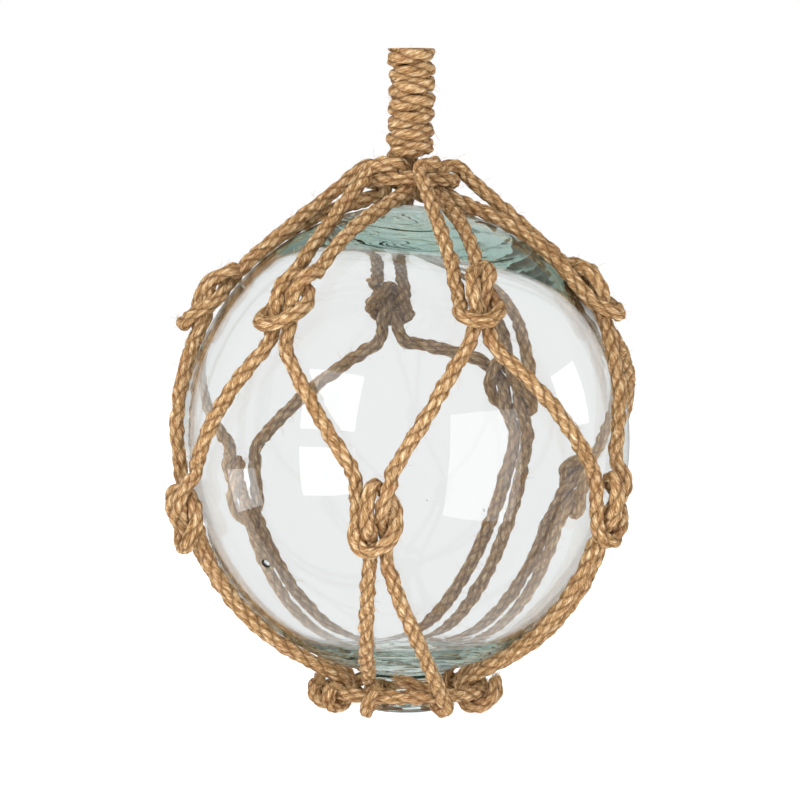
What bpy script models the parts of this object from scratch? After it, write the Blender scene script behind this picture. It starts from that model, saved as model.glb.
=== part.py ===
"""Sealed glass float ball in a knotted jute net, with a rope stem on top.

Metres, +Z up. The origin is the centre of the seal's flat underside, which the float stands on.
Azimuth is measured from the front (-Y) towards +X, in degrees. Latitude is measured on the ball.
Lengths inside a knot are counted in rope spacings: one rope diameter and its clearance.
"""

import math

import bmesh
import bpy
import numpy as np

# Glass
GLASS_DIAMETER = 0.200
GLASS_HEIGHT = 0.2095
SEAL_DIAMETER = 0.0335
SEAL_DEPTH = 0.0161
SEAL_FILLET = 0.005
SEAL_EDGE = 0.003
# How far a corner's middle facet stands off its two sides, as shares of the rounding
FILLET_MIDDLE = (0.3, 0.35)
EDGE_MIDDLE = 0.3

# Rope
ROPE_DIAMETER = 0.0064
KNOT_ROPE_DIAMETER = 0.0058
CORE_DIAMETER = 0.0068
WHIPPING_DIAMETER = 0.0067
CLEARANCE = 0.0003

# Rings, at the middle of their rope
TOP_RING_RADIUS = 0.0185
TOP_RING_ABOVE_GLASS = 0.0108
TOP_RING_SHIFT = 0.0025
TOP_RING_FRONT_RISE = 0.0010
BOTTOM_RING_RADIUS = 0.0345

# Stem
WHIPPING_TURNS = 7
WHIPPING_PITCH = 0.00694
WHIPPING_LEAD_TURN = 0.5
WHIPPING_SPARE_TURN = 0.5
STEM_ABOVE_RING = 0.01022
TAIL_AZIMUTH = 112.0
TAIL_BEND_HEIGHT = 0.004
TAIL_SWING = 0.001
# How far out the tail passes under the ring, comes to the glass and ends, in ring radii
TAIL_PLACES = (0.3, 0.75, 1.25, 1.68)

# Faceting
GLASS_SEGMENTS = 32
GLASS_ARC_STEPS = 14
RING_SEGMENTS = 24
WHIPPING_SEGMENTS = 12
ROPE_SIDES = 5
FACET_STRAY = 0.00033
LONGEST_FACET = 0.014
FINE_STEP = 0.0015

# Net: each cord's name, its place on the top ring, which of its legs comes over that ring
# (1 the right one, -1 the left one), how far that leg first runs along the ring, in degrees,
# and its upper knot's azimuth and latitude
CORDS = (
    ("left", -104.0, 1, 0.0, (-88.0, 33.5)),
    ("front_left", -16.0, -1, 30.0, (-36.0, 34.5)),
    ("front_right", 42.0, -1, 26.0, (20.5, 35.5)),
    ("right", 90.0, 1, 0.0, (77.5, 36.0)),
    ("back_right", 150.0, 1, 0.0, None),
    ("back", 200.0, 1, 0.0, (184.5, 34.0)),
)
# Lower knots: azimuth and latitude. Knot n ties cord n's right leg to the next cord's left leg
LOWER_KNOTS = (
    (-72.0, -17.0), (-7.5, -14.0), (59.0, -14.0), (127.0, -13.0), (151.0, 10.0), (229.5, -15.0),
)
# The two legs below each lower knot: their places on the bottom ring
RING_HOOKS = (
    (-92.0, -64.0), (-31.0, 28.0), (62.0, 86.0), (116.0, 142.0), (168.0, 192.0), (215.0, 243.0),
)
# The lower knot that the cord without an upper knot passes on its way down
PASSED_KNOT = 4
# Round a ring's rope: 0 is outward, 90 up and 180 inward, in degrees
BIGHT_FIRST, BIGHT_MIDDLE, BIGHT_LAST, BIGHT_STEP = 232, 142, 32, 20
BIGHT_SPREAD = 0.52
# A leg that runs along the ring turns off its top at this angle, and down again at these
RUN_FROM = 82
RUN_ALONG = ((0.3, 72), (0.55, 68), (0.8, 64), (1.0, 48), (1.04, 22))
HOOK_FIRST, HOOK_SLIDES_FROM, HOOK_LAST, HOOK_STEP = 118, 262, 390, 17
# The lower knot whose next cord's leg turns round the ring the other way, with its end left loose
LOOSE_KNOT = 1
LOOSE_FIRST, LOOSE_LAST, LOOSE_STEP = -45, -180, 15
# The loose end's places: degrees along the ring, angle round its rope, and reach in WRAP lengths
LOOSE_END = ((-9.0, -196, 1.12), (-18.0, -208, 1.35), (-27.0, -211, 1.58), (-36.0, -212, 1.7))

GLASS_COLOUR = (0.80, 0.90, 0.87, 1.0)
JUTE_COLOUR = (0.42, 0.25, 0.11, 1.0)
DARK_JUTE_COLOUR = (0.33, 0.19, 0.085, 1.0)

SPACING = ROPE_DIAMETER + CLEARANCE
KNOT_SPACING = KNOT_ROPE_DIAMETER + CLEARANCE
ROPE_RADIUS = ROPE_DIAMETER / 2
# Facets cut inside the curves they follow, so strands that turn round something stand off by that too
WRAP = ROPE_RADIUS + CLEARANCE + FACET_STRAY + KNOT_ROPE_DIAMETER / 2
# Any direction that no rope starts along
SECTION_START = np.array([0.31, 0.2, 0.93])
BALL_CENTRE = np.array([0.0, 0.0, SEAL_DEPTH + GLASS_HEIGHT / 2])
TOP_RING_HEIGHT = SEAL_DEPTH + GLASS_HEIGHT + TOP_RING_ABOVE_GLASS
STEM_BASE = TOP_RING_HEIGHT + STEM_ABOVE_RING
STEM_TOP = STEM_BASE + WHIPPING_TURNS * WHIPPING_PITCH

# One overhand knot, in knot spacings: across to the right, up, and out from the glass.
# The wrapping leg runs down the left, across the front, up behind, over the top and down the middle
WRAPPING_LEG = (
    (-1.0, 1.9, 0.6), (-1.06, 0.6, 0.6), (-1.06, -0.7, 0.68), (-0.98, -1.6, 1.0), (-0.6, -2.2, 1.5),
    (0.1, -2.35, 1.75), (0.78, -1.95, 1.65), (1.18, -1.25, 1.15), (1.16, -0.4, 0.62), (1.14, 0.5, 0.55),
    (0.98, 1.3, 0.52), (0.5, 2.1, 0.52), (0.05, 2.75, 0.85), (-0.06, 2.95, 1.4), (-0.08, 2.3, 1.85),
    (-0.1, 1.2, 1.8), (-0.12, 0.0, 1.65), (-0.22, -1.1, 1.25), (-0.36, -2.1, 0.75),
)
THROUGH_LEG = (
    (1.0, 2.3, 1.1), (0.95, 1.5, 1.55), (0.6, 0.7, 1.1), (0.2, -0.1, 0.62), (0.2, -1.1, 0.6),
    (0.45, -2.2, 0.6),
)
KNOT_REACH = 3.3
KNOT_END_LIFT = 0.55
# Half the distance between the two legs where they enter and leave a knot
UPPER_KNOT_SPREADS = (0.95, 1.1)
LOWER_KNOT_SPREADS = (1.6, 0.6)
BESIDE_KNOT = (-2.35, 0.0, 0.5)
# How a knot is drawn tight: rounds, push apart and smoothing in each
SETTLE_ROUNDS, SETTLE_PUSH, SETTLE_EASE = 160, 0.3, 0.25


def unit(vector):
    """The vector at length one."""
    return vector / np.linalg.norm(vector)


def around(azimuth):
    """Horizontal outward direction at an azimuth in degrees."""
    angle = math.radians(azimuth)
    return np.array([math.sin(angle), -math.cos(angle), 0.0])


def ball_stretch(lift):
    """How much taller than wide the ball is, measured at a lift off its surface."""
    return (GLASS_HEIGHT / 2 + lift) / (GLASS_DIAMETER / 2 + lift)


def squeeze(point, lift):
    """A point in the space where the ball's surface, raised by the lift, is a sphere about zero."""
    return (point - BALL_CENTRE) / np.array([1.0, 1.0, ball_stretch(lift)])


def unsqueeze(point, lift):
    """The inverse of squeeze."""
    return point * np.array([1.0, 1.0, ball_stretch(lift)]) + BALL_CENTRE


def ball_direction(azimuth, latitude):
    """Direction from the ball's centre, where the ball counts as a sphere."""
    rise = math.radians(latitude)
    return around(azimuth) * math.cos(rise) + np.array([0.0, 0.0, math.sin(rise)])


def taut(start, end, lift):
    """A rope pulled tight over the ball: straight runs that touch it, and an arc on it between them."""
    radius = GLASS_DIAMETER / 2 + lift
    first, last = squeeze(start, lift), squeeze(end, lift)
    along = unit(first)
    side = unit(last - along * (last @ along))
    total = math.atan2(last @ side, last @ along)
    leave = math.acos(min(1.0, radius / np.linalg.norm(first)))
    meet = total - math.acos(min(1.0, radius / np.linalg.norm(last)))
    if leave >= meet:
        return [start, end]
    steps = max(4, math.ceil(total * radius / (LONGEST_FACET / 2)))
    points = []
    for angle in np.linspace(0.0, total, steps + 1):
        reach = radius / math.cos(max(leave - angle, angle - meet, 0.0))
        points.append(unsqueeze((along * math.cos(angle) + side * math.sin(angle)) * reach, lift))
    points[0], points[-1] = start, end
    return points


def smooth_curve(points, step):
    """Points about a step apart on a Catmull-Rom curve through the given ones."""
    points = [np.asarray(p, float) for p in points]
    kept = [points[0]]
    for point in points[1:]:
        if np.linalg.norm(point - kept[-1]) > step / 2:
            kept.append(point)
    kept = [2 * kept[0] - kept[1]] + kept + [2 * kept[-1] - kept[-2]]
    result = []
    for a, b, c, d in zip(kept, kept[1:], kept[2:], kept[3:]):
        gaps = [math.sqrt(np.linalg.norm(q - p)) for p, q in ((a, b), (b, c), (c, d))]
        knots = np.cumsum([0.0] + gaps)
        count = max(1, round(np.linalg.norm(c - b) / step))
        for t in np.linspace(knots[1], knots[2], count, endpoint=False):
            ab = a + (b - a) * (t - knots[0]) / (knots[1] - knots[0])
            bc = b + (c - b) * (t - knots[1]) / (knots[2] - knots[1])
            cd = c + (d - c) * (t - knots[2]) / (knots[3] - knots[2])
            abc = ab + (bc - ab) * (t - knots[0]) / (knots[2] - knots[0])
            bcd = bc + (cd - bc) * (t - knots[1]) / (knots[3] - knots[1])
            result.append(abc + (bcd - abc) * (t - knots[1]) / (knots[2] - knots[1]))
    return np.array(result + [kept[-2]])


def settle(strands, spacing):
    """Pushes the strands of a knot apart until they clear each other and the glass. Ends stay put."""
    points = np.concatenate(strands)
    strand = np.concatenate([np.full(len(s), n) for n, s in enumerate(strands)])
    place = np.arange(len(points))
    free = np.ones((len(points), 1))
    starts = np.cumsum([0] + [len(s) for s in strands])
    for first, last in zip(starts, starts[1:]):
        free[first:first + 3] = 0.0
        free[last - 3:last] = 0.0
    apart = np.abs(place[:, None] - place[None, :]) * FINE_STEP > 2 * spacing
    tested = (strand[:, None] != strand[None, :]) | apart
    radius = GLASS_DIAMETER / 2 + spacing / 2
    inner = (free[:, 0] > 0) & np.roll(free[:, 0] > 0, 1) & np.roll(free[:, 0] > 0, -1)
    for _ in range(SETTLE_ROUNDS):
        offset = points[:, None, :] - points[None, :, :]
        distance = np.linalg.norm(offset, axis=2)
        near = tested & (distance < spacing)
        strength = np.where(near, (spacing - distance) / np.maximum(distance, 1e-6), 0.0)
        points = points + SETTLE_PUSH * free * (offset * strength[:, :, None]).sum(axis=1)
        middle = (np.roll(points, 1, axis=0) + np.roll(points, -1, axis=0)) / 2
        points[inner] += SETTLE_EASE * (middle - points)[inner]
        flat = squeeze(points, spacing / 2)
        reach = np.linalg.norm(flat, axis=1, keepdims=True)
        points = unsqueeze(flat * np.maximum(1.0, radius / reach), spacing / 2)
    return [points[first:last] for first, last in zip(starts, starts[1:])]


class KnotFrame:
    """Places a knot's own lengths on the curved ball: right, up and out from the glass."""

    def __init__(self, azimuth, latitude, above):
        self.out = ball_direction(azimuth, latitude)
        centre = unsqueeze(self.out * GLASS_DIAMETER / 2, 0.0)
        rise = above - centre
        self.up = unit(rise - self.out * (rise @ self.out))
        self.right = np.cross(self.up, self.out)

    def place(self, lengths):
        """World place of a point given in knot spacings."""
        right, up, out = (value * KNOT_SPACING for value in lengths)
        swing = math.hypot(right, up)
        angle = swing / (GLASS_DIAMETER / 2)
        sideways = (self.right * right + self.up * up) / swing if swing else self.up
        direction = self.out * math.cos(angle) + sideways * math.sin(angle)
        return unsqueeze(direction * (GLASS_DIAMETER / 2 + out), out)


def tie(frame, spreads):
    """The wrapping leg and the through leg of one knot, from top to bottom."""
    strands = []
    for side, leg in ((-1, WRAPPING_LEG), (1, THROUGH_LEG)):
        entry = (side * spreads[0], KNOT_REACH, KNOT_END_LIFT)
        way_out = (side * spreads[1], -KNOT_REACH, KNOT_END_LIFT)
        strands.append(smooth_curve([frame.place(p) for p in (entry, *leg, way_out)], FINE_STEP))
    return settle(strands, KNOT_SPACING + 2 * FACET_STRAY)


class RopeRing:
    """A rope ring round the float's axis, whose front may lie higher than its back."""

    def __init__(self, shift, height, radius, front_rise):
        self.shift = shift
        self.height = height
        self.radius = radius
        self.front_rise = front_rise

    def point(self, azimuth, angle, reach, slide=0.0):
        """A point round the ring's rope: angle 0 is outward, 90 is up; slide runs along the ring."""
        turn = math.radians(angle)
        azimuth += math.degrees(slide / self.radius)
        middle = np.array([self.shift, 0.0, self.height_at(azimuth) + reach * math.sin(turn)])
        return middle + around(azimuth) * (self.radius + reach * math.cos(turn))

    def height_at(self, azimuth):
        """Height of the rope's middle at an azimuth."""
        return self.height + self.front_rise * math.cos(math.radians(azimuth))


TOP_RING = RopeRing(TOP_RING_SHIFT, TOP_RING_HEIGHT, TOP_RING_RADIUS, TOP_RING_FRONT_RISE)
BOTTOM_RING = RopeRing(0.0, WRAP + KNOT_ROPE_DIAMETER / 2, BOTTOM_RING_RADIUS, 0.0)


def top_bight(azimuth, over, run):
    """A cord's middle, looped under, inside and over the top ring, from left leg to right leg."""
    points = []
    for angle in range(BIGHT_FIRST, (RUN_FROM if run else BIGHT_LAST) - 1, -BIGHT_STEP):
        slide = over * SPACING * BIGHT_SPREAD * (BIGHT_MIDDLE - angle) / 90
        points.append(TOP_RING.point(azimuth, angle, WRAP, slide))
    if run:
        for share, angle in RUN_ALONG:
            points.append(TOP_RING.point(azimuth + over * run * share, angle, WRAP, slide))
    return points[::over]


def bottom_hook(azimuth):
    """A leg's end, over, inside and under the bottom ring and up beside itself to its cut end."""
    points = []
    for angle in range(HOOK_FIRST, HOOK_LAST + 1, HOOK_STEP):
        slide = max(0.0, (angle - HOOK_SLIDES_FROM) / (HOOK_LAST - HOOK_SLIDES_FROM)) * SPACING
        points.append(BOTTOM_RING.point(azimuth, angle, WRAP, slide))
    return points


def loose_hook(azimuth):
    """A leg's end, under the bottom ring from outside, up inside it and then free before the seal."""
    angles = range(LOOSE_FIRST, LOOSE_LAST - 1, -LOOSE_STEP)
    points = [BOTTOM_RING.point(azimuth, angle, WRAP) for angle in angles]
    for swing, angle, reach in LOOSE_END:
        points.append(BOTTOM_RING.point(azimuth + swing, angle, WRAP * reach))
    return points


def sized(points, diameter):
    """Points with the rope's diameter there as a fourth value."""
    return [np.append(point, diameter) for point in points]


def net_paths():
    """The route of each cord's rope and its diameter, from one end on the bottom ring to the other."""
    count = len(CORDS)
    slack, tight = ROPE_DIAMETER, KNOT_ROPE_DIAMETER
    bights = [top_bight(azimuth, over, run) for _, azimuth, over, run, _ in CORDS]
    upper = []
    for (*_, knot), bight in zip(CORDS, bights):
        frame = KnotFrame(*knot, (bight[0] + bight[-1]) / 2) if knot else None
        upper.append(tie(frame, UPPER_KNOT_SPREADS) if frame else None)
    starts = []
    for n, bight in enumerate(bights):
        starts.append([upper[n][0][-1], upper[n][1][-1]] if upper[n] else [bight[0], bight[-1]])
    lower_frames = []
    for n, (azimuth, latitude) in enumerate(LOWER_KNOTS):
        above = (starts[n][1] + starts[(n + 1) % count][0]) / 2
        lower_frames.append(KnotFrame(azimuth, latitude, above))
    lower = [tie(frame, LOWER_KNOT_SPREADS) for frame in lower_frames]
    passing = lower_frames[PASSED_KNOT].place(BESIDE_KNOT)
    lift = ROPE_RADIUS + CLEARANCE
    routes = []
    for n, (name, *_) in enumerate(CORDS):
        legs = []
        for side in (0, 1):
            knot = n if side else (n - 1) % count
            bight_end = bights[n][-side]
            route = []
            start = bight_end
            if upper[n]:
                entry = upper[n][side]
                route += sized(taut(bight_end, entry[0], lift)[1:-1], slack) + sized(entry, tight)
                start = entry[-1]
            low = lower[knot][0 if side else 1]
            if not upper[n] and not side:
                route += sized(taut(start, passing, lift)[1:], slack)
                start = passing
            route += sized(taut(start, low[0], lift)[1:-1], slack) + sized(low, tight)
            if knot == LOOSE_KNOT and not side:
                hook = loose_hook(RING_HOOKS[knot][1])
            else:
                hook = bottom_hook(RING_HOOKS[knot][0 if side else 1])
            route += sized(taut(low[-1], hook[0], lift)[1:-1], slack) + sized(hook, tight)
            legs.append(route)
        routes.append((name, legs[0][::-1] + sized(bights[n], tight) + legs[1]))
    return routes


def thin_out(points):
    """The fewest points of a fine curve whose straight facets stray from it by no more than allowed."""
    places = points[:, :3]
    kept = [0]
    end = 2
    while end < len(places):
        start = kept[-1]
        chord = places[end] - places[start]
        along = chord / np.linalg.norm(chord)
        offsets = places[start + 1:end] - places[start]
        stray = np.linalg.norm(offsets - np.outer(offsets @ along, along), axis=1).max()
        if stray > FACET_STRAY or np.linalg.norm(chord) > LONGEST_FACET:
            kept.append(end - 1)
        end += 1
    return points[kept + [len(points) - 1]]


def rope_mesh(name, path):
    """A closed tube along a path whose rows hold a place and the diameter there."""
    points, diameters = path[:, :3], path[:, 3]
    bm = bmesh.new()
    rings = []
    normal = None
    for n, point in enumerate(points):
        before = points[max(n - 1, 0)]
        after = points[min(n + 1, len(points) - 1)]
        heading = unit(after - before)
        if normal is None:
            normal = unit(np.cross(heading, SECTION_START))
        normal = unit(normal - heading * (normal @ heading))
        across = np.cross(heading, normal)
        ring = []
        for side in range(ROPE_SIDES):
            turn = 2 * math.pi * side / ROPE_SIDES
            reach = diameters[n] / 2
            outward = normal * math.cos(turn) + across * math.sin(turn)
            ring.append(bm.verts.new(point + outward * reach))
        rings.append(ring)
    for low, high in zip(rings, rings[1:]):
        for side in range(ROPE_SIDES):
            following = (side + 1) % ROPE_SIDES
            bm.faces.new((low[side], low[following], high[following], high[side]))
    bm.faces.new(rings[0][::-1])
    bm.faces.new(rings[-1])
    return finish_mesh(name, bm)


def finish_mesh(name, bm):
    """Turns a bmesh into a mesh with its faces pointing out."""
    bmesh.ops.recalc_face_normals(bm, faces=bm.faces)
    mesh = bpy.data.meshes.new(name)
    bm.to_mesh(mesh)
    bm.free()
    return mesh


def add_object(name, mesh, material, parent):
    """An object with a mesh and a material, under the float's empty."""
    mesh.materials.append(material)
    mesh.shade_smooth()
    mesh.set_sharp_from_angle(angle=math.radians(50.0))
    obj = bpy.data.objects.new(name, mesh)
    bpy.context.scene.collection.objects.link(obj)
    obj.parent = parent
    return obj


def make_material(name, colour, roughness, transmission=0.0):
    """A plain material for one kind of part."""
    material = bpy.data.materials.new(name)
    material.use_nodes = True
    shader = material.node_tree.nodes["Principled BSDF"]
    shader.inputs["Base Color"].default_value = colour
    shader.inputs["Roughness"].default_value = roughness
    shader.inputs["Metallic"].default_value = 0.0
    shader.inputs["Transmission Weight"].default_value = transmission
    return material


def glass_profile():
    """Half outline of the glass, from its crown down to the middle of the seal's flat underside."""
    radius, half = GLASS_DIAMETER / 2, GLASS_HEIGHT / 2
    stem = SEAL_DIAMETER / 2
    meet = math.asin((stem + SEAL_FILLET) / radius)
    points = []
    for step in range(GLASS_ARC_STEPS + 1):
        angle = (math.pi - meet) * step / GLASS_ARC_STEPS
        points.append((radius * math.sin(angle), BALL_CENTRE[2] + half * math.cos(angle)))
    shoulder = BALL_CENTRE[2] - half * math.cos(meet)
    points.append((stem + SEAL_FILLET * FILLET_MIDDLE[0], shoulder - SEAL_FILLET * FILLET_MIDDLE[1]))
    points.append((stem, shoulder - SEAL_FILLET))
    points.append((stem, SEAL_EDGE))
    points.append((stem - SEAL_EDGE * EDGE_MIDDLE, SEAL_EDGE * EDGE_MIDDLE))
    points.append((stem - SEAL_EDGE, 0.0))
    points.append((0.0, 0.0))
    return points


def turned_mesh(name, profile, segments):
    """A solid of revolution from a half outline whose two ends lie on the axis."""
    bm = bmesh.new()
    rings = []
    for reach, height in profile[1:-1]:
        turns = [2 * math.pi * n / segments for n in range(segments)]
        rings.append([bm.verts.new((reach * math.cos(t), reach * math.sin(t), height)) for t in turns])
    top = bm.verts.new((0.0, 0.0, profile[0][1]))
    bottom = bm.verts.new((0.0, 0.0, profile[-1][1]))
    for n in range(segments):
        following = (n + 1) % segments
        bm.faces.new((top, rings[0][n], rings[0][following]))
        bm.faces.new((bottom, rings[-1][following], rings[-1][n]))
        for high, low in zip(rings, rings[1:]):
            bm.faces.new((high[n], low[n], low[following], high[following]))
    return finish_mesh(name, bm)


def ring_mesh(name, ring):
    """A rope ring as a closed tube."""
    bm = bmesh.new()
    rings = []
    for segment in range(RING_SEGMENTS):
        azimuth = 360.0 * segment / RING_SEGMENTS
        turns = [360.0 * side / ROPE_SIDES for side in range(ROPE_SIDES)]
        rings.append([bm.verts.new(ring.point(azimuth, t, ROPE_RADIUS)) for t in turns])
    for n, section in enumerate(rings):
        other = rings[(n + 1) % RING_SEGMENTS]
        for side in range(ROPE_SIDES):
            following = (side + 1) % ROPE_SIDES
            bm.faces.new((section[side], section[following], other[following], other[side]))
    return finish_mesh(name, bm)


def trim_above(mesh, height):
    """Cuts a mesh off flat at a height and closes the cut."""
    bm = bmesh.new()
    bm.from_mesh(mesh)
    geometry = bm.verts[:] + bm.edges[:] + bm.faces[:]
    cut = bmesh.ops.bisect_plane(
        bm, geom=geometry, plane_co=(0.0, 0.0, height), plane_no=(0.0, 0.0, 1.0), clear_outer=True
    )
    edges = [item for item in cut["geom_cut"] if isinstance(item, bmesh.types.BMEdge)]
    bmesh.ops.holes_fill(bm, edges=edges, sides=0)
    bmesh.ops.recalc_face_normals(bm, faces=bm.faces)
    bm.to_mesh(mesh)
    bm.free()
    return mesh


def whipping_mesh():
    """The cord wound round the stem's core, trimmed flat at the top."""
    coil = CORE_DIAMETER / 2 + CLEARANCE + WHIPPING_DIAMETER / 2
    first = round(-WHIPPING_LEAD_TURN * WHIPPING_SEGMENTS)
    last = round((WHIPPING_TURNS + WHIPPING_SPARE_TURN) * WHIPPING_SEGMENTS)
    points = []
    for step in range(first, last + 1):
        turn = step / WHIPPING_SEGMENTS
        height = STEM_BASE + WHIPPING_DIAMETER / 2 + turn * WHIPPING_PITCH
        points.append(around(360.0 * turn) * coil + np.array([TOP_RING_SHIFT, 0.0, height]))
    mesh = rope_mesh("stem_whipping", np.array(sized(points, WHIPPING_DIAMETER)))
    return trim_above(mesh, STEM_TOP)


def tail_rest(reach):
    """Height of the core's middle where it lies on the glass, at a distance out from the stem."""
    lift = CORE_DIAMETER / 2 + CLEARANCE * 2
    across = math.hypot(*(around(TAIL_AZIMUTH) * reach + np.array([TOP_RING_SHIFT, 0.0, 0.0]))[:2])
    slope = math.sqrt(1.0 - (across / (GLASS_DIAMETER / 2 + lift)) ** 2)
    return BALL_CENTRE[2] + (GLASS_HEIGHT / 2 + lift) * slope


def core_path():
    """The stem's core, from its cut top down under the top ring to the end that lies on the crown."""
    ring_height = TOP_RING.height_at(TAIL_AZIMUTH)
    under = ring_height - ROPE_RADIUS - CLEARANCE * 2 - CORE_DIAMETER / 2
    turned, passed, landed, ended = (TOP_RING_RADIUS * place for place in TAIL_PLACES)
    # Distance out from the stem's axis, and height
    bend = (
        (0.0, ring_height + TAIL_BEND_HEIGHT),
        (turned / 10, ring_height - TAIL_BEND_HEIGHT / 4),
        (turned, under + TAIL_SWING),
        (passed, under),
        (landed, tail_rest(landed)),
        (ended, tail_rest(ended)),
    )
    axis = np.array([TOP_RING_SHIFT, 0.0, 0.0])
    points = [axis + around(TAIL_AZIMUTH) * out + np.array([0.0, 0.0, height]) for out, height in bend]
    curve = thin_out(smooth_curve(sized(points, CORE_DIAMETER), FINE_STEP))
    top = axis + np.array([0.0, 0.0, STEM_TOP])
    return np.concatenate([sized([top], CORE_DIAMETER), curve])


def main():
    """Builds every part of the float."""
    for obj in list(bpy.data.objects):
        bpy.data.objects.remove(obj, do_unlink=True)
    frame = bpy.data.objects.new("float_frame", None)
    bpy.context.scene.collection.objects.link(frame)
    glass = make_material("blown_glass", GLASS_COLOUR, 0.03, 0.9)
    jute = make_material("jute_rope", JUTE_COLOUR, 0.85)
    dark_jute = make_material("jute_rope_ring", DARK_JUTE_COLOUR, 0.88)
    add_object("glass_float", turned_mesh("glass_float", glass_profile(), GLASS_SEGMENTS), glass, frame)
    add_object("top_ring", ring_mesh("top_ring", TOP_RING), dark_jute, frame)
    add_object("bottom_ring", ring_mesh("bottom_ring", BOTTOM_RING), dark_jute, frame)
    for name, route in net_paths():
        path = thin_out(smooth_curve(route, FINE_STEP))
        mesh = rope_mesh("net_cord_" + name, path)
        add_object("net_cord_" + name, mesh, jute, frame)
    add_object("stem_core", rope_mesh("stem_core", core_path()), dark_jute, frame)
    add_object("stem_whipping", whipping_mesh(), jute, frame)


main()
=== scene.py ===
"""Looks of a sealed glass float ball in a knotted jute net, with a rope-bound stem on top.

Metres, +Z up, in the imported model's own frame. The float stands on its glass seal.
Azimuth is measured from the front (-Y) towards +X, in degrees. Latitude is measured on the ball.
"""

import logging
import math
from collections.abc import Callable
from dataclasses import dataclass, field
from enum import Enum
from functools import partial

import bmesh
import bpy
import numpy as np
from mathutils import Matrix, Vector

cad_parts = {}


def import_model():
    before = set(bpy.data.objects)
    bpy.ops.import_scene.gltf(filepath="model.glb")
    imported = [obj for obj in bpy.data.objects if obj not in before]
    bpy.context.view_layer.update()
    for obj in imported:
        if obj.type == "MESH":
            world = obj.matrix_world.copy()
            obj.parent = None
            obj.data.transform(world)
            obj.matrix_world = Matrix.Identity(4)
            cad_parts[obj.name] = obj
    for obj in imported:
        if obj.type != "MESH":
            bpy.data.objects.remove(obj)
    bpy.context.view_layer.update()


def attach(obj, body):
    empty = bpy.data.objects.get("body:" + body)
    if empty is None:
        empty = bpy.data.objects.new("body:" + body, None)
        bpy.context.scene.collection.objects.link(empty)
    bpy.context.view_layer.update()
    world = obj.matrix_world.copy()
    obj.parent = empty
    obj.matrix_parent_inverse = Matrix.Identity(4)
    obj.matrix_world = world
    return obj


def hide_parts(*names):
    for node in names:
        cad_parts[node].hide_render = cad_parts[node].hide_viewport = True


LOG = logging.getLogger("glass_float")
BODY = "root"
Z_AXIS = np.array([0.0, 0.0, 1.0])
WHITE = (1.0, 1.0, 1.0, 1.0)
THIRD_TURN = 2 * math.pi / 3

# Node kinds that are used often
MATH = "ShaderNodeMath"
VECTOR_MATH = "ShaderNodeVectorMath"
NOISE = "ShaderNodeTexNoise"
MAP_RANGE = "ShaderNodeMapRange"
# A colour mix has its factor at 0 and its colours at 6 and 7, and gives its result at 2
MIX = "ShaderNodeMix"
STORE = "GeometryNodeStoreNamedAttribute"
# A random vector lies between inputs 0 and 1. A random number lies between 2 and 3 and is output 1
RANDOM = "FunctionNodeRandomValue"
CIRCLE = "GeometryNodeCurvePrimitiveCircle"
SCATTER = "GeometryNodeDistributePointsOnFaces"
INSTANCE = "GeometryNodeInstanceOnPoints"
ALIGN = "FunctionNodeAlignRotationToVector"
PRINCIPLED = "ShaderNodeBsdfPrincipled"


def linear(code: str) -> tuple[float, float, float, float]:
    """An sRGB hex code as a linear colour.

    Args:
        code: Six hex digits after a hash sign.

    Returns:
        Linear red, green and blue, and an alpha of one.
    """
    parts = [int(code[n:n + 2], 16) / 255 for n in (1, 3, 5)]
    red, green, blue = [p / 12.92 if p <= 0.04045 else ((p + 0.055) / 1.055) ** 2.4 for p in parts]
    return red, green, blue, 1.0


def add_node(tree: bpy.types.NodeTree, kind: str, inputs: dict | tuple = (),
             **settings: object) -> bpy.types.Node:
    """Adds a node with its settings and links.

    Args:
        tree: The tree that gets the node.
        kind: The node's type name.
        inputs: A value or a source for each input, in order or by the input's name or number. A
            source is a socket, or a node that gives its first output.
        **settings: The node's own properties.

    Returns:
        The new node.
    """
    node = tree.nodes.new(kind)
    for name, value in settings.items():
        setattr(node, name, value)
    for key, value in inputs.items() if isinstance(inputs, dict) else enumerate(inputs):
        source = value.outputs[0] if isinstance(value, bpy.types.Node) else value
        if isinstance(source, bpy.types.NodeSocket):
            tree.links.new(source, node.inputs[key])
        else:
            node.inputs[key].default_value = source
    return node


def unit(vector: np.ndarray) -> np.ndarray:
    """The vector at length one."""
    return vector / np.linalg.norm(vector)


def around(azimuth: float) -> np.ndarray:
    """Horizontal outward direction at an azimuth in degrees."""
    angle = math.radians(azimuth)
    return np.array([math.sin(angle), -math.cos(angle), 0.0])


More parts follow.
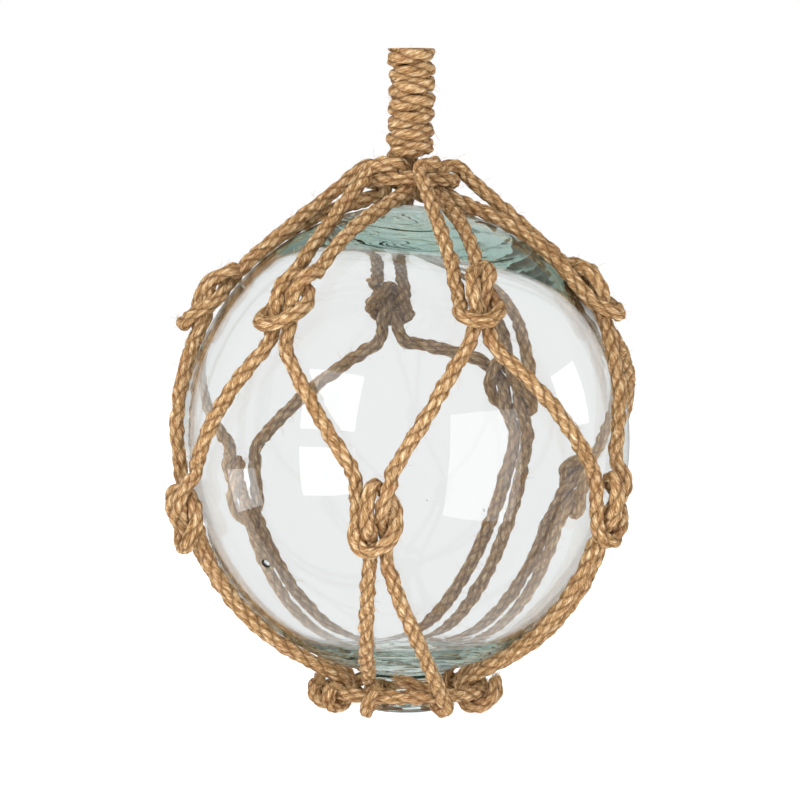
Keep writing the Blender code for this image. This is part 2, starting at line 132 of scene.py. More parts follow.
def smooth_curve(points: list, step: float) -> np.ndarray:
    """Points on a centripetal Catmull-Rom curve through the given ones.

    Args:
        points: Rows to pass through; the first three columns are the place.
        step: Distance between the new points, in metres.

    Returns:
        The new rows, ends included.
    """
    points = [np.asarray(p, float) for p in points]
    kept = [points[0]]
    for point in points[1:]:
        if np.linalg.norm(point - kept[-1]) > step / 2:
            kept.append(point)
    kept = [2 * kept[0] - kept[1]] + kept + [2 * kept[-1] - kept[-2]]
    result = []
    for a, b, c, d in zip(kept, kept[1:], kept[2:], kept[3:]):
        gaps = [math.sqrt(np.linalg.norm(q - p)) for p, q in ((a, b), (b, c), (c, d))]
        knots = np.cumsum([0.0] + gaps)
        count = max(1, round(np.linalg.norm(c - b) / step))
        for t in np.linspace(knots[1], knots[2], count, endpoint=False):
            ab = a + (b - a) * (t - knots[0]) / (knots[1] - knots[0])
            bc = b + (c - b) * (t - knots[1]) / (knots[2] - knots[1])
            cd = c + (d - c) * (t - knots[2]) / (knots[3] - knots[2])
            abc = ab + (bc - ab) * (t - knots[0]) / (knots[2] - knots[0])
            bcd = bc + (cd - bc) * (t - knots[1]) / (knots[3] - knots[1])
            result.append(abc + (bcd - abc) * (t - knots[1]) / (knots[2] - knots[1]))
    return np.array(result + [kept[-2]])


class Hand(Enum):
    """Which way a rope's plies turn as it runs away."""

    RIGHT = 1.0
    LEFT = -1.0


@dataclass(frozen=True)
class RopeSizes:
    """Sizes of the three-ply jute rope, in metres."""

    diameter: float = 0.0064
    knot_diameter: float = 0.0058
    core_diameter: float = 0.0068
    whipping_diameter: float = 0.0067
    clearance: float = 0.0003
    bend_allowance: float = 0.00033
    lay_length: float = 0.026
    hand: Hand = Hand.RIGHT
    fine_step: float = 0.0015
    long_step: float = 0.007

    @property
    def radius(self) -> float:
        """Half the rope's diameter."""
        return self.diameter / 2

    @property
    def spacing(self) -> float:
        """Distance between the middles of two ropes that lie side by side."""
        return self.diameter + self.clearance

    @property
    def knot_spacing(self) -> float:
        """Distance between the middles of two strands inside a knot."""
        return self.knot_diameter + self.clearance

    @property
    def wrap(self) -> float:
        """Distance from the middle of a ring's rope to the middle of a rope that turns round it."""
        return self.radius + self.clearance + self.bend_allowance + self.knot_diameter / 2


@dataclass(frozen=True)
class BallSizes:
    """Sizes of the blown ball and its seal, in metres."""

    diameter: float = 0.200
    height: float = 0.2095
    seal_diameter: float = 0.0335
    seal_depth: float = 0.0161
    seal_fillet: float = 0.005
    seal_edge: float = 0.003

    @property
    def centre(self) -> np.ndarray:
        """Middle of the ball."""
        return np.array([0.0, 0.0, self.seal_depth + self.height / 2])

    def stretch(self, lift: float) -> float:
        """How much taller than wide the ball is, at a lift off its surface."""
        return (self.height / 2 + lift) / (self.diameter / 2 + lift)

    def squeeze(self, point: np.ndarray, lift: float) -> np.ndarray:
        """A point in the space where the raised surface is a sphere about zero."""
        return (point - self.centre) / np.array([1.0, 1.0, self.stretch(lift)])

    def unsqueeze(self, point: np.ndarray, lift: float) -> np.ndarray:
        """The inverse of squeeze."""
        return point * np.array([1.0, 1.0, self.stretch(lift)]) + self.centre

    def direction(self, azimuth: float, latitude: float) -> np.ndarray:
        """Direction from the middle, where the ball counts as a sphere."""
        rise = math.radians(latitude)
        return around(azimuth) * math.cos(rise) + Z_AXIS * math.sin(rise)

    def taut(self, start: np.ndarray, end: np.ndarray, lift: float, step: float) -> list:
        """A rope pulled tight over the ball: straight runs that touch it, and an arc between them.

        Args:
            start: Where the rope starts.
            end: Where it ends.
            lift: Its middle's height off the glass.
            step: Distance between the points.

        Returns:
            The points, ends included.
        """
        radius = self.diameter / 2 + lift
        first, last = self.squeeze(start, lift), self.squeeze(end, lift)
        along = unit(first)
        side = unit(last - along * (last @ along))
        total = math.atan2(last @ side, last @ along)
        leave = math.acos(min(1.0, radius / np.linalg.norm(first)))
        meet = total - math.acos(min(1.0, radius / np.linalg.norm(last)))
        if leave >= meet:
            return [start, end]
        points = []
        for angle in np.linspace(0.0, total, max(4, math.ceil(total * radius / step)) + 1):
            reach = radius / math.cos(max(leave - angle, angle - meet, 0.0))
            points.append(self.unsqueeze((along * math.cos(angle) + side * math.sin(angle)) * reach, lift))
        points[0], points[-1] = start, end
        return points


class KnotFrame:
    """Places a knot's own lengths on the curved ball: right, up and out from the glass."""

    def __init__(self, ball: BallSizes, unit_length: float, place: tuple, above: np.ndarray) -> None:
        """Sets the frame up.

        Args:
            ball: The ball that the knot lies on.
            unit_length: One knot spacing, in metres.
            place: Azimuth and latitude of the knot's middle.
            above: The point that the knot's legs come from.
        """
        self.ball = ball
        self.unit_length = unit_length
        self.out = ball.direction(*place)
        centre = ball.unsqueeze(self.out * ball.diameter / 2, 0.0)
        rise = above - centre
        self.up = unit(rise - self.out * (rise @ self.out))
        self.right = np.cross(self.up, self.out)

    def place(self, lengths: tuple) -> np.ndarray:
        """World place of a point of the knot.

        Args:
            lengths: How far right, up and out the point lies, in knot spacings.

        Returns:
            The place.
        """
        right, up, out = (value * self.unit_length for value in lengths)
        swing = math.hypot(right, up)
        angle = swing / (self.ball.diameter / 2)
        sideways = (self.right * right + self.up * up) / swing if swing else self.up
        direction = self.out * math.cos(angle) + sideways * math.sin(angle)
        return self.ball.unsqueeze(direction * (self.ball.diameter / 2 + out), out)


@dataclass(frozen=True)
class RopeRing:
    """A rope ring round the float's axis, whose front may lie higher than its back."""

    shift: float
    height: float
    radius: float
    front_rise: float
    rope: RopeSizes
    twists: int
    seam: float = 0.0

    def height_at(self, azimuth: float) -> float:
        """Height of the rope's middle at an azimuth."""
        return self.height + self.front_rise * math.cos(math.radians(azimuth))

    def section_point(self, azimuth: float, angle: float, reach: float, slide: float = 0.0) -> np.ndarray:
        """A point round the ring's rope.

        Args:
            azimuth: Place along the ring, in degrees.
            angle: Place round its rope: 0 is outward and 90 is up.
            reach: Distance from the rope's middle.
            slide: Extra distance along the ring.

        Returns:
            The point.
        """
        turn = math.radians(angle)
        azimuth += math.degrees(slide / self.radius)
        middle = np.array([self.shift, 0.0, self.height_at(azimuth) + reach * math.sin(turn)])
        return middle + around(azimuth) * (self.radius + reach * math.cos(turn))

    def route(self) -> np.ndarray:
        """The ring's own rope.

        Returns:
            Its middle line with its diameter, once round and not closed.
        """
        count = round(2 * math.pi * self.radius / self.rope.fine_step)
        points = [self.section_point(self.seam + 360.0 * n / count, 0.0, 0.0) for n in range(count)]
        return np.array(sized(points, self.rope.diameter))

    def lay_length(self) -> float:
        """The lay that gives a whole number of twists, so that the ring closes."""
        return 2 * math.pi * self.radius / self.twists


@dataclass(frozen=True)
class Cord:
    """One net cord, looped over the top ring and mostly tied in an upper knot.

    The leg named by `over` comes over the ring, 1 for the right and -1 for the left one, and first
    runs along the ring by `run` degrees.
    """

    name: str
    azimuth: float
    over: int
    run: float
    knot: tuple | None


@dataclass
class Net:
    """The knotted net: six cords over a top ring, tied in pairs and hooked round a bottom ring."""

    rope: RopeSizes
    ball: BallSizes
    top_shift: float = 0.0025
    top_lift: float = 0.0108
    top_radius: float = 0.0185
    top_front_rise: float = 0.001
    top_twists: int = 5
    top_seam: float = 60.0
    bottom_radius: float = 0.0345
    bottom_twists: int = 8
    bottom_seam: float = 74.0
    ring_seeds: tuple = (11, 12)
    cords: tuple = (
        Cord("left", -104.0, 1, 0.0, (-88.0, 33.5)),
        Cord("front_left", -16.0, -1, 30.0, (-36.0, 34.5)),
        Cord("front_right", 42.0, -1, 26.0, (20.5, 35.5)),
        Cord("right", 90.0, 1, 0.0, (77.5, 36.0)),
        Cord("back_right", 150.0, 1, 0.0, None),
        Cord("back", 200.0, 1, 0.0, (184.5, 34.0)),
    )
    lower_knots: tuple = (
        (-72.0, -17.0), (-7.5, -14.0), (59.0, -14.0), (127.0, -13.0), (151.0, 10.0), (229.5, -15.0),
    )
    ring_hooks: tuple = (
        (-92.0, -64.0), (-31.0, 28.0), (62.0, 86.0), (116.0, 142.0), (168.0, 192.0), (215.0, 243.0),
    )
    bight_angles: tuple = (232, 142, 32, 20)
    bight_spread: float = 0.52
    run_from: int = 82
    run_along: tuple = ((0.3, 72), (0.55, 68), (0.8, 64), (1.0, 48), (1.04, 22))
    hook_angles: tuple = (118, 262, 390, 17)
    loose_knot: int = 1
    loose_angles: tuple = (-45, -180, 15)
    loose_end: tuple = (
        (-9.0, -196, 1.12), (-18.0, -208, 1.35), (-27.0, -211, 1.58), (-36.0, -212, 1.7),
    )
    wrapping_leg: tuple = (
        (-1.0, 1.9, 0.6), (-1.06, 0.6, 0.6), (-1.06, -0.7, 0.68), (-0.98, -1.6, 1.0), (-0.6, -2.2, 1.5),
        (0.1, -2.35, 1.75), (0.78, -1.95, 1.65), (1.18, -1.25, 1.15), (1.16, -0.4, 0.62), (1.14, 0.5, 0.55),
        (0.98, 1.3, 0.52), (0.5, 2.1, 0.52), (0.05, 2.75, 0.85), (-0.06, 2.95, 1.4), (-0.08, 2.3, 1.85),
        (-0.1, 1.2, 1.8), (-0.12, 0.0, 1.65), (-0.22, -1.1, 1.25), (-0.36, -2.1, 0.75),
    )
    through_leg: tuple = (
        (1.0, 2.3, 1.1), (0.95, 1.5, 1.55), (0.6, 0.7, 1.1), (0.2, -0.1, 0.62), (0.2, -1.1, 0.6),
        (0.45, -2.2, 0.6),
    )
    knot_reach: float = 3.3
    knot_end_lift: float = 0.55
    upper_spreads: tuple = (0.95, 1.1)
    lower_spreads: tuple = (1.6, 0.6)
    beside_knot: tuple = (-2.35, 0.0, 0.5)
    passed_knot: int = 4
    rounds: int = 160
    push: float = 0.3
    ease: float = 0.25
    held: int = 3

    @property
    def top(self) -> RopeRing:
        """The ring under the stem.

        Returns:
            The ring, which lies over the crown of the ball.
        """
        height = self.ball.seal_depth + self.ball.height + self.top_lift
        return RopeRing(
            self.top_shift, height, self.top_radius, self.top_front_rise, self.rope, self.top_twists,
            self.top_seam)

    @property
    def bottom(self) -> RopeRing:
        """The ring round the seal.

        Returns:
            The ring, so high that the ropes hooked under it just reach the ground.
        """
        height = self.rope.wrap + self.rope.knot_diameter / 2
        return RopeRing(
            0.0, height, self.bottom_radius, 0.0, self.rope, self.bottom_twists, self.bottom_seam)

    def settle(self, strands: list, spacing: float) -> list:
        """Pushes the strands of a knot apart until they clear each other and the glass.

        Args:
            strands: The strands' points; their ends stay put.
            spacing: Least distance between the strands' middles.

        Returns:
            The moved strands.
        """
        points = np.concatenate(strands)
        strand = np.concatenate([np.full(len(s), n) for n, s in enumerate(strands)])
        place = np.arange(len(points))
        free = np.ones((len(points), 1))
        starts = np.cumsum([0] + [len(s) for s in strands])
        for first, last in zip(starts, starts[1:]):
            free[first:first + self.held] = 0.0
            free[last - self.held:last] = 0.0
        apart = np.abs(place[:, None] - place[None, :]) * self.rope.fine_step > 2.0 * spacing
        tested = (strand[:, None] != strand[None, :]) | apart
        radius = self.ball.diameter / 2 + spacing / 2
        inner = (free[:, 0] > 0) & np.roll(free[:, 0] > 0, 1) & np.roll(free[:, 0] > 0, -1)
        for _ in range(self.rounds):
            offset = points[:, None, :] - points[None, :, :]
            distance = np.linalg.norm(offset, axis=2)
            near = tested & (distance < spacing)
            strength = np.where(near, (spacing - distance) / np.maximum(distance, 1e-6), 0.0)
            points = points + self.push * free * (offset * strength[:, :, None]).sum(axis=1)
            middle = (np.roll(points, 1, axis=0) + np.roll(points, -1, axis=0)) / 2
            points[inner] += self.ease * (middle - points)[inner]
            flat = self.ball.squeeze(points, spacing / 2)
            reach = np.linalg.norm(flat, axis=1, keepdims=True)
            points = self.ball.unsqueeze(flat * np.maximum(1.0, radius / reach), spacing / 2)
        return [points[first:last] for first, last in zip(starts, starts[1:])]

    def tie(self, frame: KnotFrame, spreads: tuple) -> list:
        """Ties one knot.

        Args:
            frame: The knot's place.
            spreads: How far out its legs come in above and leave below, in knot spacings.

        Returns:
            The wrapping leg and the through leg, from top to bottom.
        """
        strands = []
        for side, leg in ((-1, self.wrapping_leg), (1, self.through_leg)):
            entry = (side * spreads[0], self.knot_reach, self.knot_end_lift)
            way_out = (side * spreads[1], -self.knot_reach, self.knot_end_lift)
            points = [frame.place(p) for p in (entry, *leg, way_out)]
            strands.append(smooth_curve(points, self.rope.fine_step))
        return self.settle(strands, self.rope.knot_spacing + 2 * self.rope.bend_allowance)

    def top_bight(self, cord: Cord) -> list:
        """A cord's middle, looped under, inside and over the top ring.

        Args:
            cord: The cord.

        Returns:
            Its points, from the left leg to the right leg.
        """
        first, middle, last, step = self.bight_angles
        points = []
        for angle in range(first, (self.run_from if cord.run else last) - 1, -step):
            slide = cord.over * self.rope.spacing * self.bight_spread * (middle - angle) / 90
            points.append(self.top.section_point(cord.azimuth, angle, self.rope.wrap, slide))
        if cord.run:
            for share, angle in self.run_along:
                azimuth = cord.azimuth + cord.over * cord.run * share
                points.append(self.top.section_point(azimuth, angle, self.rope.wrap, slide))
        return points[::cord.over]

    def bottom_hook(self, azimuth: float) -> list:
        """A leg's end, over, inside and under the bottom ring and up beside itself to its cut end.

        Args:
            azimuth: Its place on the ring.

        Returns:
            Its points.
        """
        first, slides_from, last, step = self.hook_angles
        points = []
        for angle in range(first, last + 1, step):
            slide = max(0.0, (angle - slides_from) / (last - slides_from)) * self.rope.spacing
            points.append(self.bottom.section_point(azimuth, angle, self.rope.wrap, slide))
        return points

    def loose_hook(self, azimuth: float) -> list:
        """A leg's end, under the bottom ring from outside, up inside it and then free before the seal.

        Args:
            azimuth: Its place on the ring.

        Returns:
            Its points.
        """
        first, last, step = self.loose_angles
        points = []
        for angle in range(first, last - 1, -step):
            points.append(self.bottom.section_point(azimuth, angle, self.rope.wrap))
        for swing, angle, reach in self.loose_end:
            points.append(self.bottom.section_point(azimuth + swing, angle, self.rope.wrap * reach))
        return points

    def knot_frame(self, place: tuple, above: np.ndarray) -> KnotFrame:
        """The frame of a knot at an azimuth and latitude, whose legs come from a point above."""
        return KnotFrame(self.ball, self.rope.knot_spacing, place, above)

    def leg(self, start: np.ndarray, strands: tuple, end: list) -> list:
        """One leg of a cord, pulled tight between its knots.

        Args:
            start: Where it leaves the top ring.
            strands: Its points through each knot, from the top down.
            end: Its points at the bottom ring.

        Returns:
            Its points, with the rope's diameter.
        """
        lift = self.rope.radius + self.rope.clearance
        route = []
        for strand in (*strands, end):
            if len(strand):
                taut = self.ball.taut(start, strand[0], lift, self.rope.long_step)[1:-1]
                route += sized(taut, self.rope.diameter)
                route += sized(strand, self.rope.knot_diameter if strand is end else self.rope.diameter)
                start = strand[-1]
        return route

    def leg_end(self, knot: int, side: int) -> list:
        """A leg's end at the bottom ring.

        Args:
            knot: The lower knot that the leg comes from.
            side: 0 for its cord's left leg and 1 for the right one.

        Returns:
            Its points.
        """
        azimuth = self.ring_hooks[knot][1 - side]
        loose = knot == self.loose_knot and not side
        return self.loose_hook(azimuth) if loose else self.bottom_hook(azimuth)

    def routes(self) -> list:
        """Ties the whole net.

        Returns:
            Each cord's name and route, whose fourth column is the rope's diameter there.
        """
        count = len(self.cords)
        bights = [self.top_bight(cord) for cord in self.cords]
        upper = []
        starts = []
        for cord, bight in zip(self.cords, bights):
            frame = self.knot_frame(cord.knot, (bight[0] + bight[-1]) / 2) if cord.knot else None
            upper.append(self.tie(frame, self.upper_spreads) if frame else None)
            starts.append([strand[-1] for strand in upper[-1]] if frame else [bight[0], bight[-1]])
        frames = []
        for n, place in enumerate(self.lower_knots):
            frames.append(self.knot_frame(place, (starts[n][1] + starts[(n + 1) % count][0]) / 2))
        lower = [self.tie(frame, self.lower_spreads) for frame in frames]
        passing = frames[self.passed_knot].place(self.beside_knot)
        result = []
        for n, cord in enumerate(self.cords):
            # Without an upper knot, the left leg passes beside a lower knot and the right one goes straight
            first = upper[n] or ([passing], [])
            legs = []
            for side in (0, 1):
                knot = n if side else (n - 1) % count
                strands = (first[side], lower[knot][1 - side])
                legs.append(self.leg(bights[n][-side], strands, self.leg_end(knot, side)))
            result.append((cord.name, legs[0][::-1] + sized(bights[n], self.rope.diameter) + legs[1]))
        return result

    def build(self, maker: "RopeMaker") -> list:
        """Makes the six cords and the two rings.

        Args:
            maker: Makes a dressed rope from a route.

        Returns:
            Each piece with the node that it replaces and the node's slot.
        """
        pieces = []
        for seed, (name, route) in enumerate(self.routes()):
            path = smooth_curve(route, self.rope.fine_step / 2)
            cord = maker.make("jute_cord_" + name, path, seed, frayed=(True, True))
            pieces.append((cord, "net_cord_" + name, "net_rope"))
        for name, ring, seed in zip(("top_ring", "bottom_ring"), (self.top, self.bottom), self.ring_seeds):
            pieces.append((maker.ring("jute_" + name, ring, seed), name, "ring_rope"))
        return pieces


def sized(points: list, diameter: float) -> list:
    """Points with the rope's diameter there as a fourth value."""
    return [np.append(point, diameter) for point in points]


@dataclass
class Stem:
    """The upright stem: a rope core with a cord wound round it, cut off flat at the top."""

    rope: RopeSizes
    ball: BallSizes
    ring: RopeRing
    turns: int = 7
    lead_turn: float = 0.5
    spare_turn: float = 0.5
    pitch: float = 0.00694
    slack: float = 0.00045
    fullness: float = 1.1
    above_ring: float = 0.01022
    tail_azimuth: float = 112.0
    tail_bend_height: float = 0.004
    tail_swing: float = 0.001
    tail_places: tuple = (0.3, 0.75, 1.25, 1.68)
    turn_points: int = 60
    whipping_seed: int = 13
    core_seed: int = 14

    @property
    def base(self) -> float:
        """Height of the lowest turn's underside at the front."""
        return self.ring.height + self.above_ring

    @property
    def top(self) -> float:
        """Height of the flat cut."""
        return self.base + self.turns * self.pitch

    def whipping(self) -> np.ndarray:
        """The wound cord, whose turns lie a little unevenly.

        Returns:
            Its route, running past the flat cut.
        """
        size = self.rope.whipping_diameter
        coil = self.rope.core_diameter / 2 + self.rope.clearance + size / 2
        points = []
        for turn in np.arange(-self.lead_turn, self.turns + self.spare_turn, 1 / self.turn_points):
            sag = self.slack * math.sin(turn * 5.1) * math.sin(turn * 1.7 + 1.0)
            height = self.base + size / 2 + turn * self.pitch + sag
            reach = coil + self.slack * math.sin(turn * 7.3 + 2.0)
            points.append(around(360.0 * turn) * reach + np.array([self.ring.shift, 0.0, height]))
        return np.array(sized(points, size * self.fullness))

    def tail_rest(self, reach: float) -> float:
        """Height of the core's middle where it lies on the glass.

        Args:
            reach: Distance out from the stem.

        Returns:
            The height.
        """
        lift = self.rope.core_diameter / 2 + self.rope.clearance * 2
        out = around(self.tail_azimuth) * reach + np.array([self.ring.shift, 0.0, 0.0])
        slope = math.sqrt(1.0 - (np.linalg.norm(out) / (self.ball.diameter / 2 + lift)) ** 2)
        return self.ball.centre[2] + (self.ball.height / 2 + lift) * slope

    def core(self) -> np.ndarray:
        """The rope inside the stem.

        Returns:
            Its route, from the cut top down under the ring to the end that lies on the crown.
        """
        height = self.ring.height_at(self.tail_azimuth)
        under = height - self.rope.radius - self.rope.clearance * 2 - self.rope.core_diameter / 2
        turned, passed, landed, ended = (self.ring.radius * place for place in self.tail_places)
        bend = (
            (0.0, self.top),
            (0.0, (self.top + height) / 2),
            (0.0, height + self.tail_bend_height),
            (turned / 10, height - self.tail_bend_height / 4),
            (turned, under + self.tail_swing),
            (passed, under),
            (landed, self.tail_rest(landed)),
            (ended, self.tail_rest(ended)),
        )
        outward = around(self.tail_azimuth)
        axis = np.array([self.ring.shift, 0.0, 0.0])
        points = [axis + outward * out + Z_AXIS * level for out, level in bend]
        return np.array(sized(smooth_curve(points, self.rope.fine_step), self.rope.core_diameter))

    def build(self, maker: "RopeMaker") -> list:
        """Makes the whipping, cut flat at its top, and the core.

        Args:
            maker: Makes a dressed rope from a route.

        Returns:
            Each piece with the node that it replaces and the node's slot.
        """
        whipping = maker.make("jute_whipping", self.whipping(), self.whipping_seed)
        core = maker.make("jute_stem_core", self.core(), self.core_seed, frayed=(False, True))
        cut_flat(whipping, self.top)
        return [(whipping, "stem_whipping", "net_rope"), (core, "stem_core", "ring_rope")]


@dataclass(frozen=True)
class JuteFinish:
    """Natural jute, three plies of spun yarns laid up by machine: dry, matt and hairy.

    A jute fibre is about 0.05 mm thick, too fine to show, so it is drawn in bundles of `fibre_width`.
    """

    # The top and bottom colours of the tone ramp carry painted highlight and painted shade on the yarns as
    # well as the fibres' own pale and dark tone, and the colour in the grooves is painted shade between the
    # plies
    pale_fibre_and_highlight: str = "#EFD8B0"
    body: str = "#B18A5C"
    shade: str = "#674426"
    groove: str = "#5C3615"
    hair: str = "#CDA878"
    warm: str = "#B07C4A"
    roughness: float = 0.7
    ior: float = 1.45
    gloss: float = 0.2
    fibre_width: float = 0.00042
    fibre_length: float = 0.0020
    bundle_factor: float = 2.4
    patch: float = 0.012
    relief: float = 0.0004
    painted_yarn_highlight: float = 0.24
    fibre_share: float = 1.05
    bundle_share: float = 0.85
    patch_share: float = 0.35
    tone_range: tuple = (0.97, 1.53)
    warm_range: tuple = (0.5, 0.72)
    warm_most: float = 0.55
    ragged_range: tuple = (0.40, 0.62)
    groove_power: float = 1.3

    def material(self, name: str) -> bpy.types.Material:
        """Builds the material, which reads the rope's own yarn_place, yarn, groove and stray attributes.

        Args:
            name: The material's name.

        Returns:
            The material.
        """
        material = bpy.data.materials.new(name)
        material.use_nodes = True
        material.node_tree.nodes.clear()
        node = partial(add_node, material.node_tree)
        place, yarn, groove, stray = (
            node("ShaderNodeAttribute", attribute_name=label)
            for label in ("yarn_place", "yarn", "groove", "stray")
        )
        # Fibres lie along the yarns, fine across and long along, and draw jute's straw-like streaks
        fibre = self.fibres(node, place.outputs["Vector"], 1.0)
        bundle = self.fibres(node, place.outputs["Vector"], self.bundle_factor)
        coords = node("ShaderNodeTexCoord")
        patches = node(NOISE, {"Vector": coords.outputs["Object"], "Scale": 1 / self.patch, "Detail": 3.0})
        # Painted light: a yarn's back is painted lighter as a highlight and its flanks darker as shade, on
        # top of the fibres' own random tone
        height = node(MATH, (yarn.outputs["Fac"], self.painted_yarn_highlight), operation="MULTIPLY")
        parts = ((fibre, self.fibre_share), (bundle, self.bundle_share), (patches, self.patch_share))
        for value, share in parts:
            height = node(MATH, (value, share, height), operation="MULTIPLY_ADD")
        low, high = self.tone_range
        tone = node(MAP_RANGE, {"Value": height, "From Min": low, "From Max": high})
        # The ramp runs from dark fibres and painted shade through the body colour to pale fibres and painted
        # highlight
        ramp = node("ShaderNodeValToRGB", (tone,))
        stops = ramp.color_ramp.elements
        stops[0].color, stops[1].color = linear(self.shade), linear(self.pale_fibre_and_highlight)
        stops.new(0.5).color = linear(self.body)
        # Some yarns are browner, from the bark left on the fibres
        low, high = self.warm_range
        rusty = node(MAP_RANGE, {
            "Value": patches, "From Min": low, "From Max": high, "To Max": self.warm_most,
        })
        tinted = node(MIX, {0: rusty, 6: ramp, 7: linear(self.warm)}, data_type="RGBA", blend_type="MULTIPLY")
        # Painted shade darkens the grooves between the plies, most at their bottoms, and loose fibres break
        # it up
        low, high = self.ragged_range
        ragged = node(MAP_RANGE, {"Value": bundle, "From Min": low, "From Max": high})
        deep = node(MATH, (groove.outputs["Fac"], self.groove_power), operation="POWER")
        painted_groove_shade = node(MATH, (deep, ragged), operation="MULTIPLY", use_clamp=True)
        dark = node(MIX, {0: painted_groove_shade, 6: tinted.outputs[2], 7: linear(self.groove)}, data_type="RGBA")
        loose = stray.outputs["Fac"]
        shown = node(MIX, {0: loose, 6: dark.outputs[2], 7: linear(self.hair)}, data_type="RGBA")
        bump = node("ShaderNodeBump", {"Strength": 1.0, "Distance": self.relief, "Height": fibre})
        # Dry fibres scatter the light, so the rope has no shine
        shader = node(PRINCIPLED, {
            "Base Color": shown.outputs[2], "Roughness": self.roughness, "IOR": self.ior,
            "Specular IOR Level": self.gloss, "Normal": bump,
        })
        node("ShaderNodeOutputMaterial", {"Surface": shader})
        return material

    def fibres(self, node: Callable, place: bpy.types.NodeSocket, size: float) -> bpy.types.Node:
        """Noise drawn out along the yarns.

        Args:
            node: Adds a node to the material.
            place: The place across and along the yarns.
            size: How much larger than single fibres the noise is.

        Returns:
            The noise's node.
        """
        across, along = 1 / (self.fibre_width * size), 1 / (self.fibre_length * size)
        drawn = node(VECTOR_MATH, (place, (across, across, along)), operation="MULTIPLY")
        return node(NOISE, {"Vector": drawn, "Scale": 1.0, "Detail": 2.0, "Roughness": 0.6})


@dataclass(frozen=True)
class GlassFinish:
    """Blown soda-lime glass: clear in the thin wall, faintly sea-green where it is thick."""

    ior: float = 1.5
    tint: str = "#B9D6CD"
    density: float = 15.0

    def material(self, name: str) -> bpy.types.Material:
        """Builds the clear material with its absorption.

        Args:
            name: The material's name.

        Returns:
            The material.
        """
        material = bpy.data.materials.new(name)
        material.use_nodes = True
        material.node_tree.nodes.clear()
        node = partial(add_node, material.node_tree)
        # Fire-polished and without grain, so only reflections and the bent view behind it show the wall
        shader = node(PRINCIPLED, {
            "Base Color": WHITE, "Roughness": 0.0, "IOR": self.ior, "Transmission Weight": 1.0,
        })
        # Iron in the sand swallows red light, so the thick crown and base turn green
        inside = node("ShaderNodeVolumeAbsorption", {"Color": linear(self.tint), "Density": self.density})
        node("ShaderNodeOutputMaterial", {"Surface": shader, "Volume": inside})
        return material


